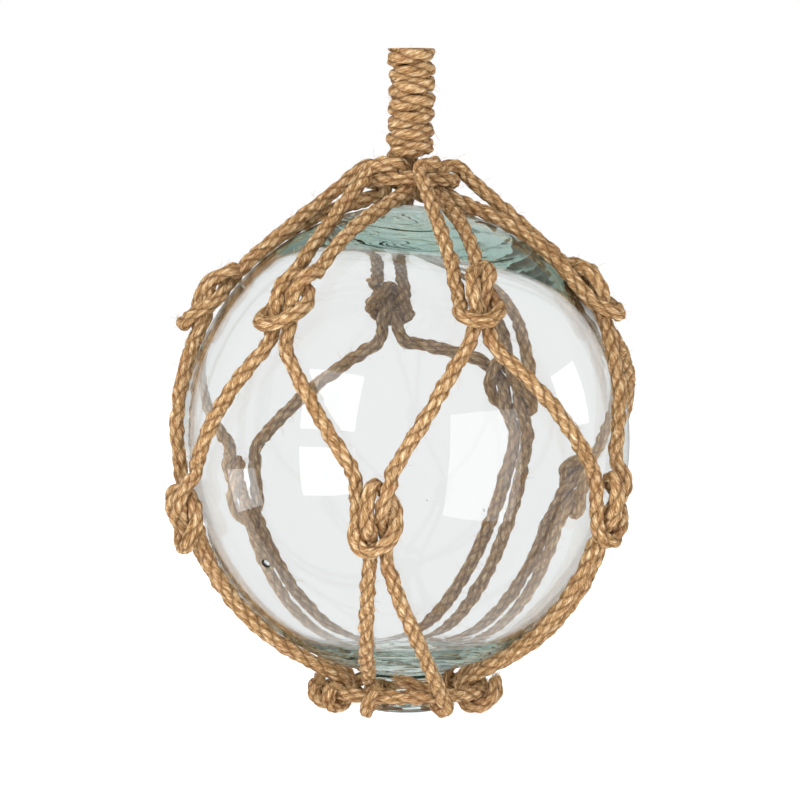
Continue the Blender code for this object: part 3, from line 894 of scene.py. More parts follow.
@dataclass
class RopeTree:
    """Geometry Nodes that lay three plies of yarns along a route, with stray fibres and frayed ends.

    Lengths are in metres, but the ply's offset and reach are shares of the rope's radius.
    """

    sides: int = 30
    ply_offset: float = 0.32
    ply_reach: float = 0.70
    ply_gap: float = 0.05
    yarns: int = 4
    yarn_lay: float = 0.0136
    yarn_height: float = 0.00012
    sway_length: float = 0.02
    sway: float = 1.3
    bundle_width: float = 0.0014
    bundle_length: float = 0.006
    swell_length: float = 0.007
    hair_radius: float = 0.00006
    hair_root: float = 0.0004
    hair_lift: float = 0.55
    hair_power: float = 5.0
    hair_least: float = 0.22
    fray_reach: float = 0.0024
    fray_density: float = 3.0e6
    fray_length: float = 0.0042
    fray_thickness: float = 1.6
    sockets: dict = field(default_factory=dict)
    tree: bpy.types.NodeTree | None = None
    node: Callable | None = None
    given: bpy.types.NodeOutputs | None = None

    def build(self) -> None:
        """Makes the node tree once."""
        self.tree = bpy.data.node_groups.new("laid_rope", "GeometryNodeTree")
        self.tree.is_modifier = True
        face = self.tree.interface
        face.new_socket("Geometry", in_out="INPUT", socket_type="NodeSocketGeometry")
        inputs = {
            "Float": ("Step", "Lay Length", "Hand", "Unevenness", "Stray Density", "Stray Length", "Sway"),
            "Int": ("Seed",),
            "Bool": ("Fray Start", "Fray End"),
            "Material": ("Material",),
        }
        for kind, names in inputs.items():
            for name in names:
                socket = face.new_socket(name, in_out="INPUT", socket_type="NodeSocket" + kind)
                self.sockets[name] = socket.identifier
        face.new_socket("Geometry", in_out="OUTPUT", socket_type="NodeSocketGeometry")
        self.node = partial(add_node, self.tree)
        self.given = self.node("NodeGroupInput").outputs
        line = self.line()
        rope = self.lay(line)
        joined = self.node("GeometryNodeJoinGeometry")
        for part in (self.strays(rope), self.frayed(line, True), self.frayed(line, False), rope):
            self.tree.links.new(part.outputs[0], joined.inputs[0])
        real = self.node("GeometryNodeRealizeInstances", (joined,))
        dressed = self.node("GeometryNodeSetMaterial", {"Geometry": real, "Material": self.given["Material"]})
        self.node("NodeGroupOutput", (dressed,))

    def section(self) -> bpy.types.Node:
        """The rope's cross-section: three plies pressed together, one unit in radius.

        Returns:
            The section's curve. Each of its points keeps its angle round its ply and round the rope,
            and how deep it lies between two plies.
        """
        node = self.node
        circle = node(CIRCLE, {"Resolution": self.sides, "Radius": 1.0}, mode="RADIUS")
        place = node("GeometryNodeInputPosition")
        parts = node("ShaderNodeSeparateXYZ", (place,))
        angle = node(MATH, (parts.outputs[1], parts.outputs[0]), operation="ARCTAN2")
        # Each ply fills a third of the turn
        turn = node(MATH, (angle, THIRD_TURN / 2, -THIRD_TURN / 2), operation="WRAP")
        cosine = node(MATH, (turn,), operation="COSINE")
        sine = node(MATH, (turn,), operation="SINE")
        near = node(MATH, (cosine, self.ply_offset), operation="MULTIPLY")
        over = node(MATH, (sine, self.ply_offset), operation="MULTIPLY")
        square = node(MATH, (over, over), operation="MULTIPLY")
        rest = node(MATH, (self.ply_reach ** 2, square), operation="SUBTRACT")
        chord = node(MATH, (rest,), operation="SQRT")
        reach = node(MATH, (near, chord), operation="ADD")
        moved = node(VECTOR_MATH, {0: place, "Scale": reach}, operation="SCALE")
        sideways = node(MATH, (reach, sine), operation="MULTIPLY")
        outward = node(MATH, (reach, cosine), operation="MULTIPLY")
        from_ply = node(MATH, (outward, self.ply_offset), operation="SUBTRACT")
        around_ply = node(MATH, (sideways, from_ply), operation="ARCTAN2")
        least = self.ply_offset / 2 + math.sqrt(self.ply_reach ** 2 - 0.75 * self.ply_offset ** 2)
        most = self.ply_offset + self.ply_reach
        depth = node(MAP_RANGE, {"Value": reach, "From Min": most, "From Max": least})
        shape = circle
        # The depth between two plies is kept as the mask of the painted shade in the grooves
        for name, value in (("groove", depth), ("ply_angle", around_ply), ("ply_turn", angle)):
            shape = node(STORE, {"Geometry": shape, "Name": name, "Value": value}, data_type="FLOAT")
        return node("GeometryNodeSetPosition", {"Geometry": shape, "Position": moved})

    def line(self) -> bpy.types.Node:
        """The route as an even curve whose tilt turns the plies, a little faster here and slower there.

        Returns:
            The tilted curve.
        """
        node, given = self.node, self.given
        line = node("GeometryNodeMeshToCurve", (given["Geometry"],))
        even = node("GeometryNodeResampleCurve", {"Curve": line, "Length": given["Step"]}, mode="LENGTH")
        straight = node("GeometryNodeSetCurveNormal", (even,), mode="MINIMUM_TWIST")
        along = node("GeometryNodeSplineParameter").outputs["Length"]
        measured = node(STORE, {"Geometry": straight, "Name": "along", "Value": along}, data_type="FLOAT")
        turns = node(MATH, (along, given["Lay Length"]), operation="DIVIDE")
        angle = node(MATH, (turns, 2 * math.pi), operation="MULTIPLY")
        share = node(MATH, (along, self.sway_length), operation="DIVIDE")
        place = node("ShaderNodeCombineXYZ", (share, given["Seed"]))
        sway = node(NOISE, {"Vector": place, "Scale": 1.0, "Detail": 1.0}, noise_dimensions="2D")
        off = node(MATH, (sway, 0.5), operation="SUBTRACT")
        swayed = node(MATH, (off, given["Sway"], angle), operation="MULTIPLY_ADD")
        tilt = node(MATH, (swayed, given["Hand"]), operation="MULTIPLY")
        return node("GeometryNodeSetCurveTilt", {"Curve": measured, "Tilt": tilt})

    def lay(self, line: bpy.types.Node) -> bpy.types.Node:
        """Sweeps the section along the route and marks where each yarn lies.

        Args:
            line: The tilted route.

        Returns:
            The rope's mesh.
        """
        node = self.node
        radius, along, ply_angle, ply_turn = (
            node("GeometryNodeInputNamedAttribute", {"Name": name}, data_type="FLOAT")
            for name in ("rope_radius", "along", "ply_angle", "ply_turn")
        )
        swept = node("GeometryNodeCurveToMesh", {
            "Curve": line, "Profile Curve": self.section(), "Scale": radius, "Fill Caps": True,
        })
        # Yarns turn round their ply the other way than the plies turn round the rope
        turns = node(MATH, (along, 2 * math.pi / self.yarn_lay), operation="MULTIPLY")
        phase = node(MATH, (ply_angle, turns), operation="ADD")
        phases = node(MATH, (phase, float(self.yarns)), operation="MULTIPLY")
        wave = node(MATH, (phases,), operation="COSINE")
        crown = node(MATH, (wave, 0.5, 0.5), operation="MULTIPLY_ADD")
        across = node(MATH, (phase, RopeSizes.diameter / 2 * self.ply_reach), operation="MULTIPLY")
        thirds = node(MATH, (ply_turn, THIRD_TURN), operation="DIVIDE")
        ply = node(MATH, (thirds,), operation="ROUND")
        apart = node(MATH, (ply, self.ply_gap), operation="MULTIPLY")
        place = node("ShaderNodeCombineXYZ", (across, apart, along))
        # The yarns' crest height is kept for the material, which paints a highlight on each yarn's back from
        # it
        mesh = swept
        for name, value, kind in (("yarn", crown, "FLOAT"), ("yarn_place", place, "FLOAT_VECTOR")):
            mesh = node(STORE, {"Geometry": mesh, "Name": name, "Value": value}, data_type=kind)
        return self.uneven(mesh, wave, place)

    def uneven(self, mesh: bpy.types.Node, wave: bpy.types.Node, place: bpy.types.Node) -> bpy.types.Node:
        """Raises the yarns and makes the plies swell and thin as spun jute does.

        Args:
            mesh: The smooth rope.
            wave: Height of the yarns, from -1 to 1.
            place: Each point's place across and along the yarns.

        Returns:
            The uneven rope, shaded smooth.
        """
        node = self.node
        scale = (1 / self.bundle_width, 1 / self.bundle_width, 1 / self.bundle_length)
        drawn = node(VECTOR_MATH, (place, scale), operation="MULTIPLY")
        bundles = node(NOISE, {"Vector": drawn, "Scale": 1.0, "Detail": 2.0})
        where = node("GeometryNodeInputPosition")
        swell = node(NOISE, {"Vector": where, "Scale": 1 / self.swell_length, "Detail": 1.0})
        both = node(MATH, (bundles, swell), operation="ADD")
        centred = node(MATH, (both, 1.0), operation="SUBTRACT")
        rough = node(MATH, (centred, self.given["Unevenness"]), operation="MULTIPLY")
        height = node(MATH, (wave, self.yarn_height, rough), operation="MULTIPLY_ADD")
        normal = node("GeometryNodeInputNormal")
        offset = node(VECTOR_MATH, {0: normal, "Scale": height}, operation="SCALE")
        moved = node("GeometryNodeSetPosition", {"Geometry": mesh, "Offset": offset})
        return node("GeometryNodeSetShadeSmooth", {0: moved, "Shade Smooth": True})

    def strays(self, rope: bpy.types.Node) -> bpy.types.Node:
        """Stray fibres that stand off the rope: most of them short fuzz, and a few long.

        Args:
            rope: The rope's mesh.

        Returns:
            The fibres, as instances.
        """
        node, given = self.node, self.given
        seed = given["Seed"]
        roots = node(SCATTER, {"Mesh": rope, "Density": given["Stray Density"], "Seed": seed})
        low, high = (-1.0, -1.0, -1.0), (1.0, 1.0, 1.0)
        lean = node(RANDOM, {0: low, 1: high, "Seed": seed}, data_type="FLOAT_VECTOR")
        outward = node(VECTOR_MATH, {0: roots.outputs["Normal"], "Scale": self.hair_lift}, operation="SCALE")
        heading = node(VECTOR_MATH, (outward, lean), operation="ADD")
        chance = node(RANDOM, {2: 0.0, 3: 1.0, "Seed": seed}, data_type="FLOAT").outputs[1]
        rare = node(MATH, (chance, self.hair_power), operation="POWER")
        size = node(MATH, (rare, self.hair_least), operation="ADD")
        turned = node(ALIGN, {"Vector": heading}, axis="Z")
        return node(INSTANCE, {
            "Points": roots, "Instance": self.fibre(given["Stray Length"], self.hair_radius),
            "Rotation": turned, "Scale": size,
        })

    def frayed(self, line: bpy.types.Node, start: bool) -> bpy.types.Node:
        """A brush of loose fibres at one cut end.

        Args:
            line: The tilted route.
            start: Whether this is the route's start.

        Returns:
            The brush, as an instance, if the tree's input asks for it.
        """
        node, given = self.node, self.given
        seed = given["Seed"]
        disc = node("GeometryNodeMeshCircle", {"Vertices": 12, "Radius": self.fray_reach}, fill_type="NGON")
        roots = node(SCATTER, {"Mesh": disc, "Density": self.fray_density, "Seed": seed})
        low, high = (-0.6, -0.6, 0.6), (0.6, 0.6, 1.0)
        lean = node(RANDOM, {0: low, 1: high, "Seed": seed}, data_type="FLOAT_VECTOR")
        size = node(RANDOM, {2: 0.4, 3: 1.0, "Seed": seed}, data_type="FLOAT").outputs[1]
        turned = node(ALIGN, {"Vector": lean}, axis="Z")
        brush = node(INSTANCE, {
            "Points": roots, "Instance": self.fibre(self.fray_length, self.hair_radius * self.fray_thickness),
            "Rotation": turned, "Scale": size,
        })
        end = node("GeometryNodeCurveEndpointSelection", (int(start), int(not start)))
        asked = given["Fray Start" if start else "Fray End"]
        wanted = node("FunctionNodeBooleanMath", (end, asked), operation="AND")
        tangent = node("GeometryNodeInputTangent")
        outward = node(VECTOR_MATH, {0: tangent, "Scale": -1.0 if start else 1.0}, operation="SCALE")
        facing = node(ALIGN, {"Vector": outward}, axis="Z")
        return node(INSTANCE, {
            "Points": line, "Selection": wanted, "Instance": brush, "Rotation": facing,
        })

    def fibre(self, length: float | bpy.types.NodeSocket, radius: float) -> bpy.types.Node:
        """One curled fibre that rises along +Z from just under the origin.

        Args:
            length: The fibre's length, in metres.
            radius: Half its thickness.

        Returns:
            Its mesh, marked as stray.
        """
        node = self.node
        middle = node(VECTOR_MATH, {0: (0.05, 0.0, 0.55), "Scale": length}, operation="SCALE")
        tip = node(VECTOR_MATH, {0: (0.5, 0.15, 0.8), "Scale": length}, operation="SCALE")
        bend = node("GeometryNodeCurveQuadraticBezier", {
            "Resolution": 2, "Start": (0.0, 0.0, -self.hair_root), "Middle": middle, "End": tip,
        })
        outline = node(CIRCLE, {"Resolution": 3, "Radius": radius}, mode="RADIUS")
        solid = node("GeometryNodeCurveToMesh", {"Curve": bend, "Profile Curve": outline, "Fill Caps": False})
        return node(STORE, {"Geometry": solid, "Name": "stray", "Value": 1.0}, data_type="FLOAT")


@dataclass
class RopeMaker:
    """Turns routes into dressed rope pieces."""

    sizes: RopeSizes
    tree: RopeTree
    material: bpy.types.Material
    step: float = 0.0007
    unevenness: float = 0.0018
    stray_density: float = 135000.0
    stray_length: float = 0.0042

    def make(self, name: str, route: np.ndarray, seed: int, lay_length: float | None = None,
             closed: bool = False, frayed: tuple = (False, False)) -> bpy.types.Object:
        """Makes one rope piece.

        Args:
            name: The piece's name.
            route: Its middle line, with the diameter as fourth column.
            seed: Seed of its stray fibres.
            lay_length: Length of one twist, if not the rope's own.
            closed: Whether the route is a ring.
            frayed: Whether its start and its end are frayed.

        Returns:
            The finished object, with a plain mesh.
        """
        count = len(route)
        edges = [(n, n + 1) for n in range(count - 1)] + ([(count - 1, 0)] if closed else [])
        mesh = bpy.data.meshes.new(name)
        mesh.from_pydata([tuple(row[:3]) for row in route], edges, [])
        radius = mesh.attributes.new("rope_radius", "FLOAT", "POINT")
        radius.data.foreach_set("value", (route[:, 3] / 2).astype(np.float32))
        obj = bpy.data.objects.new(name, mesh)
        bpy.context.scene.collection.objects.link(obj)
        modifier = obj.modifiers.new("laid_rope", "NODES")
        modifier.node_group = self.tree.tree
        values = {
            "Step": self.step, "Lay Length": lay_length or self.sizes.lay_length,
            "Hand": self.sizes.hand.value, "Unevenness": self.unevenness,
            "Stray Density": self.stray_density, "Stray Length": self.stray_length, "Seed": seed,
            "Sway": 0.0 if closed else self.tree.sway, "Fray Start": frayed[0], "Fray End": frayed[1],
            "Material": self.material,
        }
        for label, value in values.items():
            modifier[self.tree.sockets[label]] = value
        return settled(obj)

    def ring(self, name: str, ring: RopeRing, seed: int) -> bpy.types.Object:
        """Makes one closed rope ring."""
        return self.make(name, ring.route(), seed, ring.lay_length(), True)


def settled(obj: bpy.types.Object) -> bpy.types.Object:
    """Replaces an object's modifiers by the plain mesh that they make.

    Args:
        obj: The object.

    Returns:
        The same object.
    """
    bpy.context.view_layer.update()
    depsgraph = bpy.context.evaluated_depsgraph_get()
    mesh = bpy.data.meshes.new_from_object(obj.evaluated_get(depsgraph), depsgraph=depsgraph)
    obj.modifiers.clear()
    obj.data = mesh
    mesh.name = obj.name
    return obj


def cut_flat(obj: bpy.types.Object, height: float) -> None:
    """Cuts a piece off flat and closes the cut.

    Args:
        obj: The piece.
        height: The cut's height.
    """
    bm = bmesh.new()
    bm.from_mesh(obj.data)
    parts = bm.verts[:] + bm.edges[:] + bm.faces[:]
    place, up = Vector(Z_AXIS) * height, Vector(Z_AXIS)
    cut = bmesh.ops.bisect_plane(bm, geom=parts, plane_co=place, plane_no=up, clear_outer=True)
    edges = [item for item in cut["geom_cut"] if isinstance(item, bmesh.types.BMEdge)]
    bmesh.ops.holes_fill(bm, edges=edges, sides=0)
    bm.to_mesh(obj.data)
    bm.free()


@dataclass(frozen=True)
class Bubble:
    """An air bubble in the wall: its middle and three half lengths, in millimetres, and its turn."""

    place: tuple
    turn: float
    halves: tuple


@dataclass
class GlassFloat:
    """The blown ball: an outer skin with its seal, the hollow inside it, and bubbles in its wall."""

    sizes: BallSizes
    wall: float = 0.0034
    crown_extra: float = 0.0108
    crown_shift: float = 0.013
    crown_reach: float = 0.046
    base_extra: float = 0.0092
    base_reach: float = 0.031
    thinning_power: float = 2.4
    segments: int = 160
    rows: int = 170
    pole_crowding: float = 0.11
    fillet_rows: int = 6
    seal_rows: int = 23
    edge_rows: int = 5
    ridge_reach: float = 34.0
    ridge_turns: float = 48.0
    ridge_height: float = 0.00018
    fine_ridge_height: float = 0.00008
    crease_reach: float = 0.038
    crease_height: float = 0.00018
    fold_swells: tuple = (0.016, 0.010)
    fold_pitches: tuple = (0.0040, 0.0035)
    fold_from: float = 2.75
    fold_fade: float = 0.15
    foot_fade: float = 0.002
    bubbles: tuple = (
        Bubble((-60.0, -62.6, 71.6), 0.0, (2.6, 1.0, 2.1)),
        Bubble((-63.2, -61.2, 77.4), 35.0, (0.1, 0.1, 3.4)),
        Bubble((-52.0, -84.0, 141.0), 60.0, (0.35, 0.3, 0.35)),
        Bubble((34.0, -93.0, 96.0), 20.0, (0.3, 0.3, 0.9)),
        Bubble((9.0, -98.0, 101.0), 0.0, (0.25, 0.25, 0.3)),
        Bubble((67.0, -69.0, 80.0), -30.0, (0.3, 0.3, 1.1)),
        Bubble((-21.0, -96.0, 142.0), 0.0, (0.2, 0.2, 0.3)),
    )

    def wall_at(self, x: np.ndarray, y: np.ndarray, up: float) -> np.ndarray:
        """Thickness of the glass over horizontal places.

        Args:
            x: The places' x.
            y: The places' y.
            up: Above zero for the upper half of the ball.

        Returns:
            The thickness, in metres.
        """
        if up > 0:
            crown = np.hypot(x - self.crown_shift, y) / self.crown_reach
            return self.wall + self.crown_extra * np.exp(-crown ** self.thinning_power)
        base = np.hypot(x, y) / self.base_reach
        return self.wall + self.base_extra * np.exp(-base ** self.thinning_power) + self.creases(x, y)

    def ridges(self, polar: float, azimuth: np.ndarray) -> np.ndarray:
        """Height of the twist lines that run round the crown, where the gather was turned.

        Args:
            polar: Angle from the top.
            azimuth: Angles round the ball.

        Returns:
            The heights, in metres. The waves' lesser shares and phases only keep them uneven.
        """
        share = np.exp(-(polar / math.radians(self.ridge_reach)) ** 4)
        swirl = polar * self.ridge_turns + 1.1 * np.sin(azimuth + 0.6)
        swirl += 0.5 * np.sin(2 * azimuth + polar * 5.0)
        fine = np.sin(swirl * 2.3 + 1.2 * np.sin(azimuth + 1.0))
        strength = 0.6 + 0.4 * np.sin(polar * 17.0 + azimuth)
        return share * strength * (self.ridge_height * np.sin(swirl) + self.fine_ridge_height * fine)

    def creases(self, x: np.ndarray, y: np.ndarray) -> np.ndarray:
        """Height of the folds inside the glass over the seal, where it cooled first.

        Args:
            x: The places' x.
            y: The places' y.

        Returns:
            The heights. The folds are 1.6 to 2.8 mm apart and bent by waves of 3.5 to 7.2 mm.
        """
        share = np.exp(-(np.hypot(x, y) / self.crease_reach) ** 4)
        bent = x + 0.004 * np.sin(y / 0.006) + 0.003 * np.sin((x + y) / 0.0047)
        across = y + 0.004 * np.sin(x / 0.0072) + 0.002 * np.sin((x - y) / 0.0035)
        fold = np.sin(bent / 0.0021) + 0.8 * np.sin(across / 0.0016 + 1.1)
        return share * self.crease_height * (fold + 0.7 * np.sin((bent - across) / 0.0028))

    def seal_folds(self, turns: np.ndarray, height: float) -> np.ndarray:
        """Relative swell of the twisted seal, which was pinched off while it was soft.

        Args:
            turns: Angles round the seal.
            height: Height over the underside.

        Returns:
            The swell, as a share of the seal's width.
        """
        broad, narrow = self.fold_swells
        steep, flat = self.fold_pitches
        return (broad * np.sin(3 * turns + height / steep)
                + narrow * np.sin(7 * turns - height / flat + np.sin(turns * 2)))

    def outline(self) -> list:
        """Half outline of the outside, from the crown to the middle of the underside.

        Returns:
            Rows of polar angle, reach and height.
        """
        sizes = self.sizes
        half, radius = sizes.height / 2, sizes.diameter / 2
        stem, fillet, edge = sizes.seal_diameter / 2, sizes.seal_fillet, sizes.seal_edge
        meet = math.pi - math.asin((stem + fillet) / radius)
        rows = []
        for polar in self.polars(meet):
            rows.append((polar, radius * math.sin(polar), sizes.centre[2] + half * math.cos(polar)))
        shoulder = rows[-1][2]
        for turn in np.linspace(0.0, math.pi / 2, self.fillet_rows + 1)[1:]:
            inset, drop = fillet * (1 - math.sin(turn)), fillet * (1 - math.cos(turn))
            rows.append((meet, stem + inset, shoulder - drop))
        for height in np.linspace(shoulder - fillet, edge, self.seal_rows + 1)[1:]:
            rows.append((meet, stem, height))
        for turn in np.linspace(0.0, math.pi / 2, self.edge_rows + 1)[1:]:
            rows.append((meet, stem - edge * (1 - math.cos(turn)), edge * (1 - math.sin(turn))))
        for share in (0.66, 0.33, 0.0):
            rows.append((meet, (stem - edge) * share, 0.0))
        return rows

    def polars(self, last: float) -> np.ndarray:
        """Polar angles from the crown down, closest together near both ends."""
        share = np.linspace(0.0, 1.0, self.rows)
        return last * (share - self.pole_crowding * np.sin(2 * math.pi * share))

    def outer(self, turns: np.ndarray) -> list:
        """Rings of the outside.

        Args:
            turns: Angles of each ring's points.

        Returns:
            The rings, from the crown down.
        """
        rings = []
        for polar, reach, height in self.outline():
            lift = self.ridges(polar, turns)
            share = min(1.0, max(0.0, (polar - self.fold_from) / self.fold_fade))
            swell = 1.0 + share * min(1.0, height / self.foot_fade) * self.seal_folds(turns, height)
            reaches = reach * swell + lift * math.sin(polar)
            rings.append(ring_of(turns, reaches, height + lift * math.cos(polar)))
        return rings

    def inner(self, turns: np.ndarray) -> list:
        """Rings of the hollow.

        Args:
            turns: Angles of each ring's points.

        Returns:
            The rings, from the crown down.
        """
        half, radius = self.sizes.height / 2, self.sizes.diameter / 2
        rings = []
        for polar in self.polars(math.pi):
            across = radius * math.sin(polar)
            wall = self.wall_at(across * np.cos(turns), across * np.sin(turns), math.cos(polar))
            normal = unit(np.array([math.sin(polar) / radius, math.cos(polar) / half]))
            height = self.sizes.centre[2] + half * math.cos(polar)
            rings.append(ring_of(turns, across - wall * normal[0], height - wall * normal[1]))
        return rings

    def bubble(self, bubble: Bubble) -> list:
        """Rings of a bubble that lies in the middle of the wall near its given place.

        Args:
            bubble: The bubble.

        Returns:
            The rings, from one pole to the other.
        """
        sizes = self.sizes
        towards = np.array(bubble.place) / 1000.0 - sizes.centre
        out = unit(towards * np.array([1.0, 1.0, (sizes.diameter / sizes.height) ** 2]))
        surface = towards / np.linalg.norm(towards / np.array([1.0, 1.0, sizes.stretch(0.0)]))
        middle = sizes.centre + surface * sizes.diameter / 2 - out * self.wall / 2
        side = unit(np.cross(Z_AXIS, out))
        up = np.cross(out, side)
        angle = math.radians(bubble.turn)
        cosine, sine = math.cos(angle), math.sin(angle)
        side, up = side * cosine + up * sine, up * cosine - side * sine
        wide, deep, tall = np.array(bubble.halves) / 1000.0
        rings = []
        for polar in np.linspace(0.0, math.pi, 9):
            ring = []
            for turn in np.linspace(0.0, 2 * math.pi, 16, endpoint=False):
                flat = side * (wide * math.cos(turn)) + out * (deep * math.sin(turn))
                ring.append(middle + flat * math.sin(polar) + up * (tall * math.cos(polar)))
            rings.append(ring)
        return rings

    def build(self, material: bpy.types.Material) -> bpy.types.Object:
        """Makes the ball and dresses it.

        Args:
            material: Its glass.

        Returns:
            The glass object.
        """
        turns = np.linspace(0.0, 2 * math.pi, self.segments, endpoint=False)
        bm = bmesh.new()
        add_skin(bm, self.outer(turns), False)
        add_skin(bm, self.inner(turns), True)
        for bubble in self.bubbles:
            skin = bmesh.new()
            add_skin(skin, self.bubble(bubble), False)
            # A bubble is a hollow, so its faces point into it
            bmesh.ops.recalc_face_normals(skin, faces=skin.faces)
            bmesh.ops.reverse_faces(skin, faces=skin.faces)
            part = bpy.data.meshes.new("bubble")
            skin.to_mesh(part)
            skin.free()
            bm.from_mesh(part)
            bpy.data.meshes.remove(part)
        mesh = bpy.data.meshes.new("blown_glass_ball")
        bm.to_mesh(mesh)
        bm.free()
        mesh.shade_smooth()
        mesh.materials.append(material)
        obj = bpy.data.objects.new("blown_glass_ball", mesh)
        bpy.context.scene.collection.objects.link(obj)
        # The wall is thin, so the ropes behind it are lit through it
        obj.visible_shadow = False
        return obj


def ring_of(turns: np.ndarray, reaches: np.ndarray, heights: np.ndarray) -> np.ndarray:
    """Points round the Z axis at given angles, reaches and heights."""
    return np.stack([reaches * np.cos(turns), reaches * np.sin(turns), heights], axis=1)


def add_skin(bm: bmesh.types.BMesh, rings: list, inward: bool) -> None:
    """Adds a closed skin whose first and last rings are poles.

    Args:
        bm: The mesh that gets the skin.
        rings: Rings of as many points each.
        inward: Whether its faces point inwards.
    """
    first = rings[0][0]
    last = rings[-1][0]
    rows = [[bm.verts.new(tuple(point)) for point in ring] for ring in rings[1:-1]]
    top, bottom = bm.verts.new(tuple(first)), bm.verts.new(tuple(last))
    count = len(rows[0])
    for n in range(count):
        following = (n + 1) % count
        faces = [(top, rows[0][n], rows[0][following]), (bottom, rows[-1][following], rows[-1][n])]
        faces += [(a[n], b[n], b[following], a[following]) for a, b in zip(rows, rows[1:])]
        for face in faces:
            bm.faces.new(face[::-1] if inward else face)


@dataclass(frozen=True)
class Softbox:
    """A soft rectangular light that faces the ball.

    Azimuth and elevation are in degrees, the size is in metres and the power in watts. The glass
    shows its reflection if it is `mirrored`, and it lights the ropes if it is `lighting`.
    """

    name: str
    azimuth: float
    elevation: float
    size: tuple
    power: float
    mirrored: bool = True
    lighting: bool = True


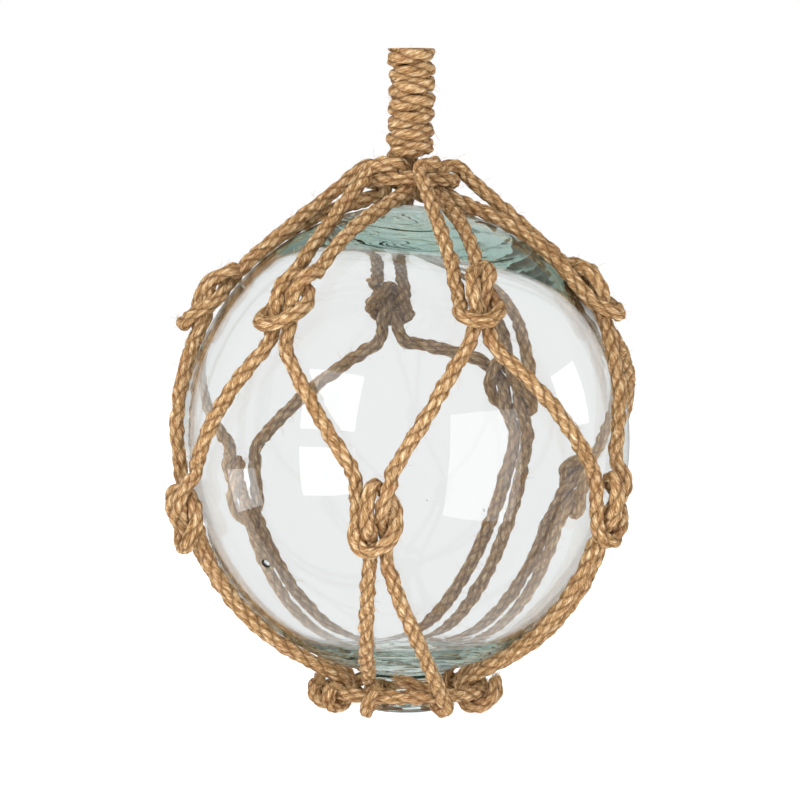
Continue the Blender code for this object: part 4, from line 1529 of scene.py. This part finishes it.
@dataclass
class Studio:
    """A plain white studio: camera, soft windows, and a pale floor."""

    camera_distance: float = 1.75
    camera_rise: float = 3.0
    sensor_width: float = 36.0
    aim: tuple = (-0.0025, 0.0, 0.1387)
    frame_width: float = 0.3574
    floor_radius: float = 4.0
    floor_drop: float = 0.0005
    floor_glow: float = 0.8
    light_bounces: int = 48
    light_distance: float = 1.4
    light_aim: tuple = (0.0, 0.0, 0.12)
    mirror_dim: float = 0.65
    diffuse_dim: float = 0.66
    through_dim: float = 0.055
    room_level: float = 0.68
    backdrop_range: tuple = (-0.2, 0.6)
    softboxes: tuple = (
        Softbox("left_window_high", -39.0, 19.0, (0.72, 0.62), 6.0),
        Softbox("left_window_low", -39.0, -11.0, (0.72, 0.5), 5.0),
        Softbox("right_window", 40.0, -9.0, (0.95, 1.2), 10.0),
        Softbox("side_window", -91.0, -16.0, (0.5, 0.32), 2.2, lighting=False),
        Softbox("far_left_window", -143.0, -13.0, (0.45, 0.42), 2.0, lighting=False),
        Softbox("far_right_window", 95.0, 13.0, (0.5, 0.45), 3.0, lighting=False),
        Softbox("front_softbox", 0.0, 12.0, (1.2, 1.2), 8.0, mirrored=False),
        Softbox("ceiling_softbox", -35.0, 62.0, (0.9, 0.9), 7.0, mirrored=False),
    )

    def aimed(self, name: str, data: bpy.types.ID, aim: tuple, outward: Vector,
              distance: float) -> bpy.types.Object:
        """Adds a camera or a light that looks at a point.

        Args:
            name: The object's name.
            data: The camera or light.
            aim: The point.
            outward: Direction from the point to the object.
            distance: Distance between them.

        Returns:
            The object.
        """
        obj = bpy.data.objects.new(name, data)
        bpy.context.scene.collection.objects.link(obj)
        obj.location = Vector(aim) + outward * distance
        obj.rotation_mode = "QUATERNION"
        obj.rotation_quaternion = (-outward).to_track_quat("-Z", "Y")
        return obj

    def camera(self) -> None:
        """Adds the camera at the photograph's viewing angle."""
        data = bpy.data.cameras.new("camera")
        data.sensor_width = self.sensor_width
        data.lens = self.sensor_width * self.camera_distance / self.frame_width
        outward = raised(0.0, self.camera_rise)
        bpy.context.scene.camera = self.aimed("camera", data, self.aim, outward, self.camera_distance)

    def light(self, box: Softbox) -> None:
        """Adds one soft light.

        Args:
            box: The light.
        """
        data = bpy.data.lights.new(box.name, "AREA")
        data.shape = "RECTANGLE"
        data.size, data.size_y = box.size
        data.energy = box.power
        outward = raised(box.azimuth, box.elevation)
        obj = self.aimed(box.name, data, self.light_aim, outward, self.light_distance)
        obj.visible_camera = False
        obj.visible_transmission = False
        obj.visible_glossy = box.mirrored
        obj.visible_diffuse = box.lighting

    def world(self) -> None:
        """Adds the white surroundings: dim where the glass mirrors them, darker away from the backdrop."""
        world = bpy.data.worlds.new("white_studio")
        bpy.context.scene.world = world
        world.use_nodes = True
        world.node_tree.nodes.clear()
        node = partial(add_node, world.node_tree)
        rays = node("ShaderNodeLightPath").outputs
        passed = node(MATH, (1.0, rays["Is Transmission Ray"]), operation="SUBTRACT")
        mirrored = node(MATH, (rays["Is Glossy Ray"], passed), operation="MULTIPLY")
        # The backdrop lies behind the float; rays bent far from it meet the darker room
        coords = node("ShaderNodeTexCoord")
        parts = node("ShaderNodeSeparateXYZ", (coords.outputs["Generated"],))
        low, high = self.backdrop_range
        backdrop = node(MAP_RANGE, {
            "Value": parts.outputs[1], "From Min": low, "From Max": high, "To Min": self.room_level,
        }, interpolation_type="SMOOTHSTEP")
        strength = node(MATH, (backdrop, rays["Is Diffuse Ray"]), operation="MAXIMUM")
        dimmed = (
            (mirrored, self.mirror_dim),
            (rays["Is Diffuse Ray"], self.diffuse_dim),
            (rays["Is Transmission Ray"], self.through_dim),
        )
        for ray, share in dimmed:
            left = node(MATH, (ray, -share, 1.0), operation="MULTIPLY_ADD")
            strength = node(MATH, (strength, left), operation="MULTIPLY")
        back = node("ShaderNodeBackground", {"Color": WHITE, "Strength": strength})
        node("ShaderNodeOutputWorld", {"Surface": back})

    def floor(self) -> None:
        """Adds the pale paper floor that the float stands on."""
        bm = bmesh.new()
        bmesh.ops.create_circle(bm, cap_ends=True, radius=self.floor_radius, segments=64)
        mesh = bpy.data.meshes.new("floor")
        bm.to_mesh(mesh)
        bm.free()
        material = bpy.data.materials.new("white_paper")
        material.use_nodes = True
        material.node_tree.nodes.clear()
        node = partial(add_node, material.node_tree)
        # Matt paper that glows a little, so that it melts into the backdrop
        shader = node(PRINCIPLED, {
            "Base Color": linear("#F7F7F7"), "Roughness": 0.9, "Specular IOR Level": 0.0,
            "Emission Color": WHITE, "Emission Strength": self.floor_glow,
        })
        node("ShaderNodeOutputMaterial", {"Surface": shader})
        mesh.materials.append(material)
        obj = bpy.data.objects.new("floor", mesh)
        bpy.context.scene.collection.objects.link(obj)
        obj.location.z = -self.floor_drop
        obj.visible_transmission = False
        obj.visible_glossy = False

    def build(self) -> None:
        """Adds the whole studio."""
        scene = bpy.context.scene
        scene.view_settings.view_transform = "Standard"
        scene.cycles.max_bounces = self.light_bounces
        scene.cycles.transmission_bounces = self.light_bounces
        scene.cycles.glossy_bounces = self.light_bounces
        self.camera()
        self.world()
        self.floor()
        for box in self.softboxes:
            self.light(box)


def raised(azimuth: float, elevation: float) -> Vector:
    """Direction at an azimuth and an elevation in degrees."""
    rise = math.radians(elevation)
    return Vector(around(azimuth)) * math.cos(rise) + Vector(Z_AXIS) * math.sin(rise)


def hand_over(piece: bpy.types.Object, node: str) -> None:
    """Puts a piece on the float's body in the place of its node, and reports it.

    Args:
        piece: The finished piece.
        node: The node that it replaces.
    """
    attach(piece, BODY)
    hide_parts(node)
    LOG.info("%s: %d faces", piece.name, len(piece.data.polygons))


def main() -> None:
    """Builds the studio, the glass, the net and the stem, and reports each piece."""
    logging.basicConfig(level=logging.INFO, format="%(message)s")
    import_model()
    Studio().build()
    rope, ball = RopeSizes(), BallSizes()
    net = Net(rope, ball)
    tree = RopeTree()
    tree.build()
    maker = RopeMaker(rope, tree, JuteFinish().material("natural_jute_rope"))
    glass = GlassFloat(ball).build(GlassFinish().material("blown_soda_lime_glass"))
    pieces = [(glass, "glass_float", "glass")]
    pieces += net.build(maker)
    pieces += Stem(rope, ball, net.top).build(maker)
    for piece, node, slot in pieces:
        hand_over(piece, node)


if __name__ == "__main__":
    main()
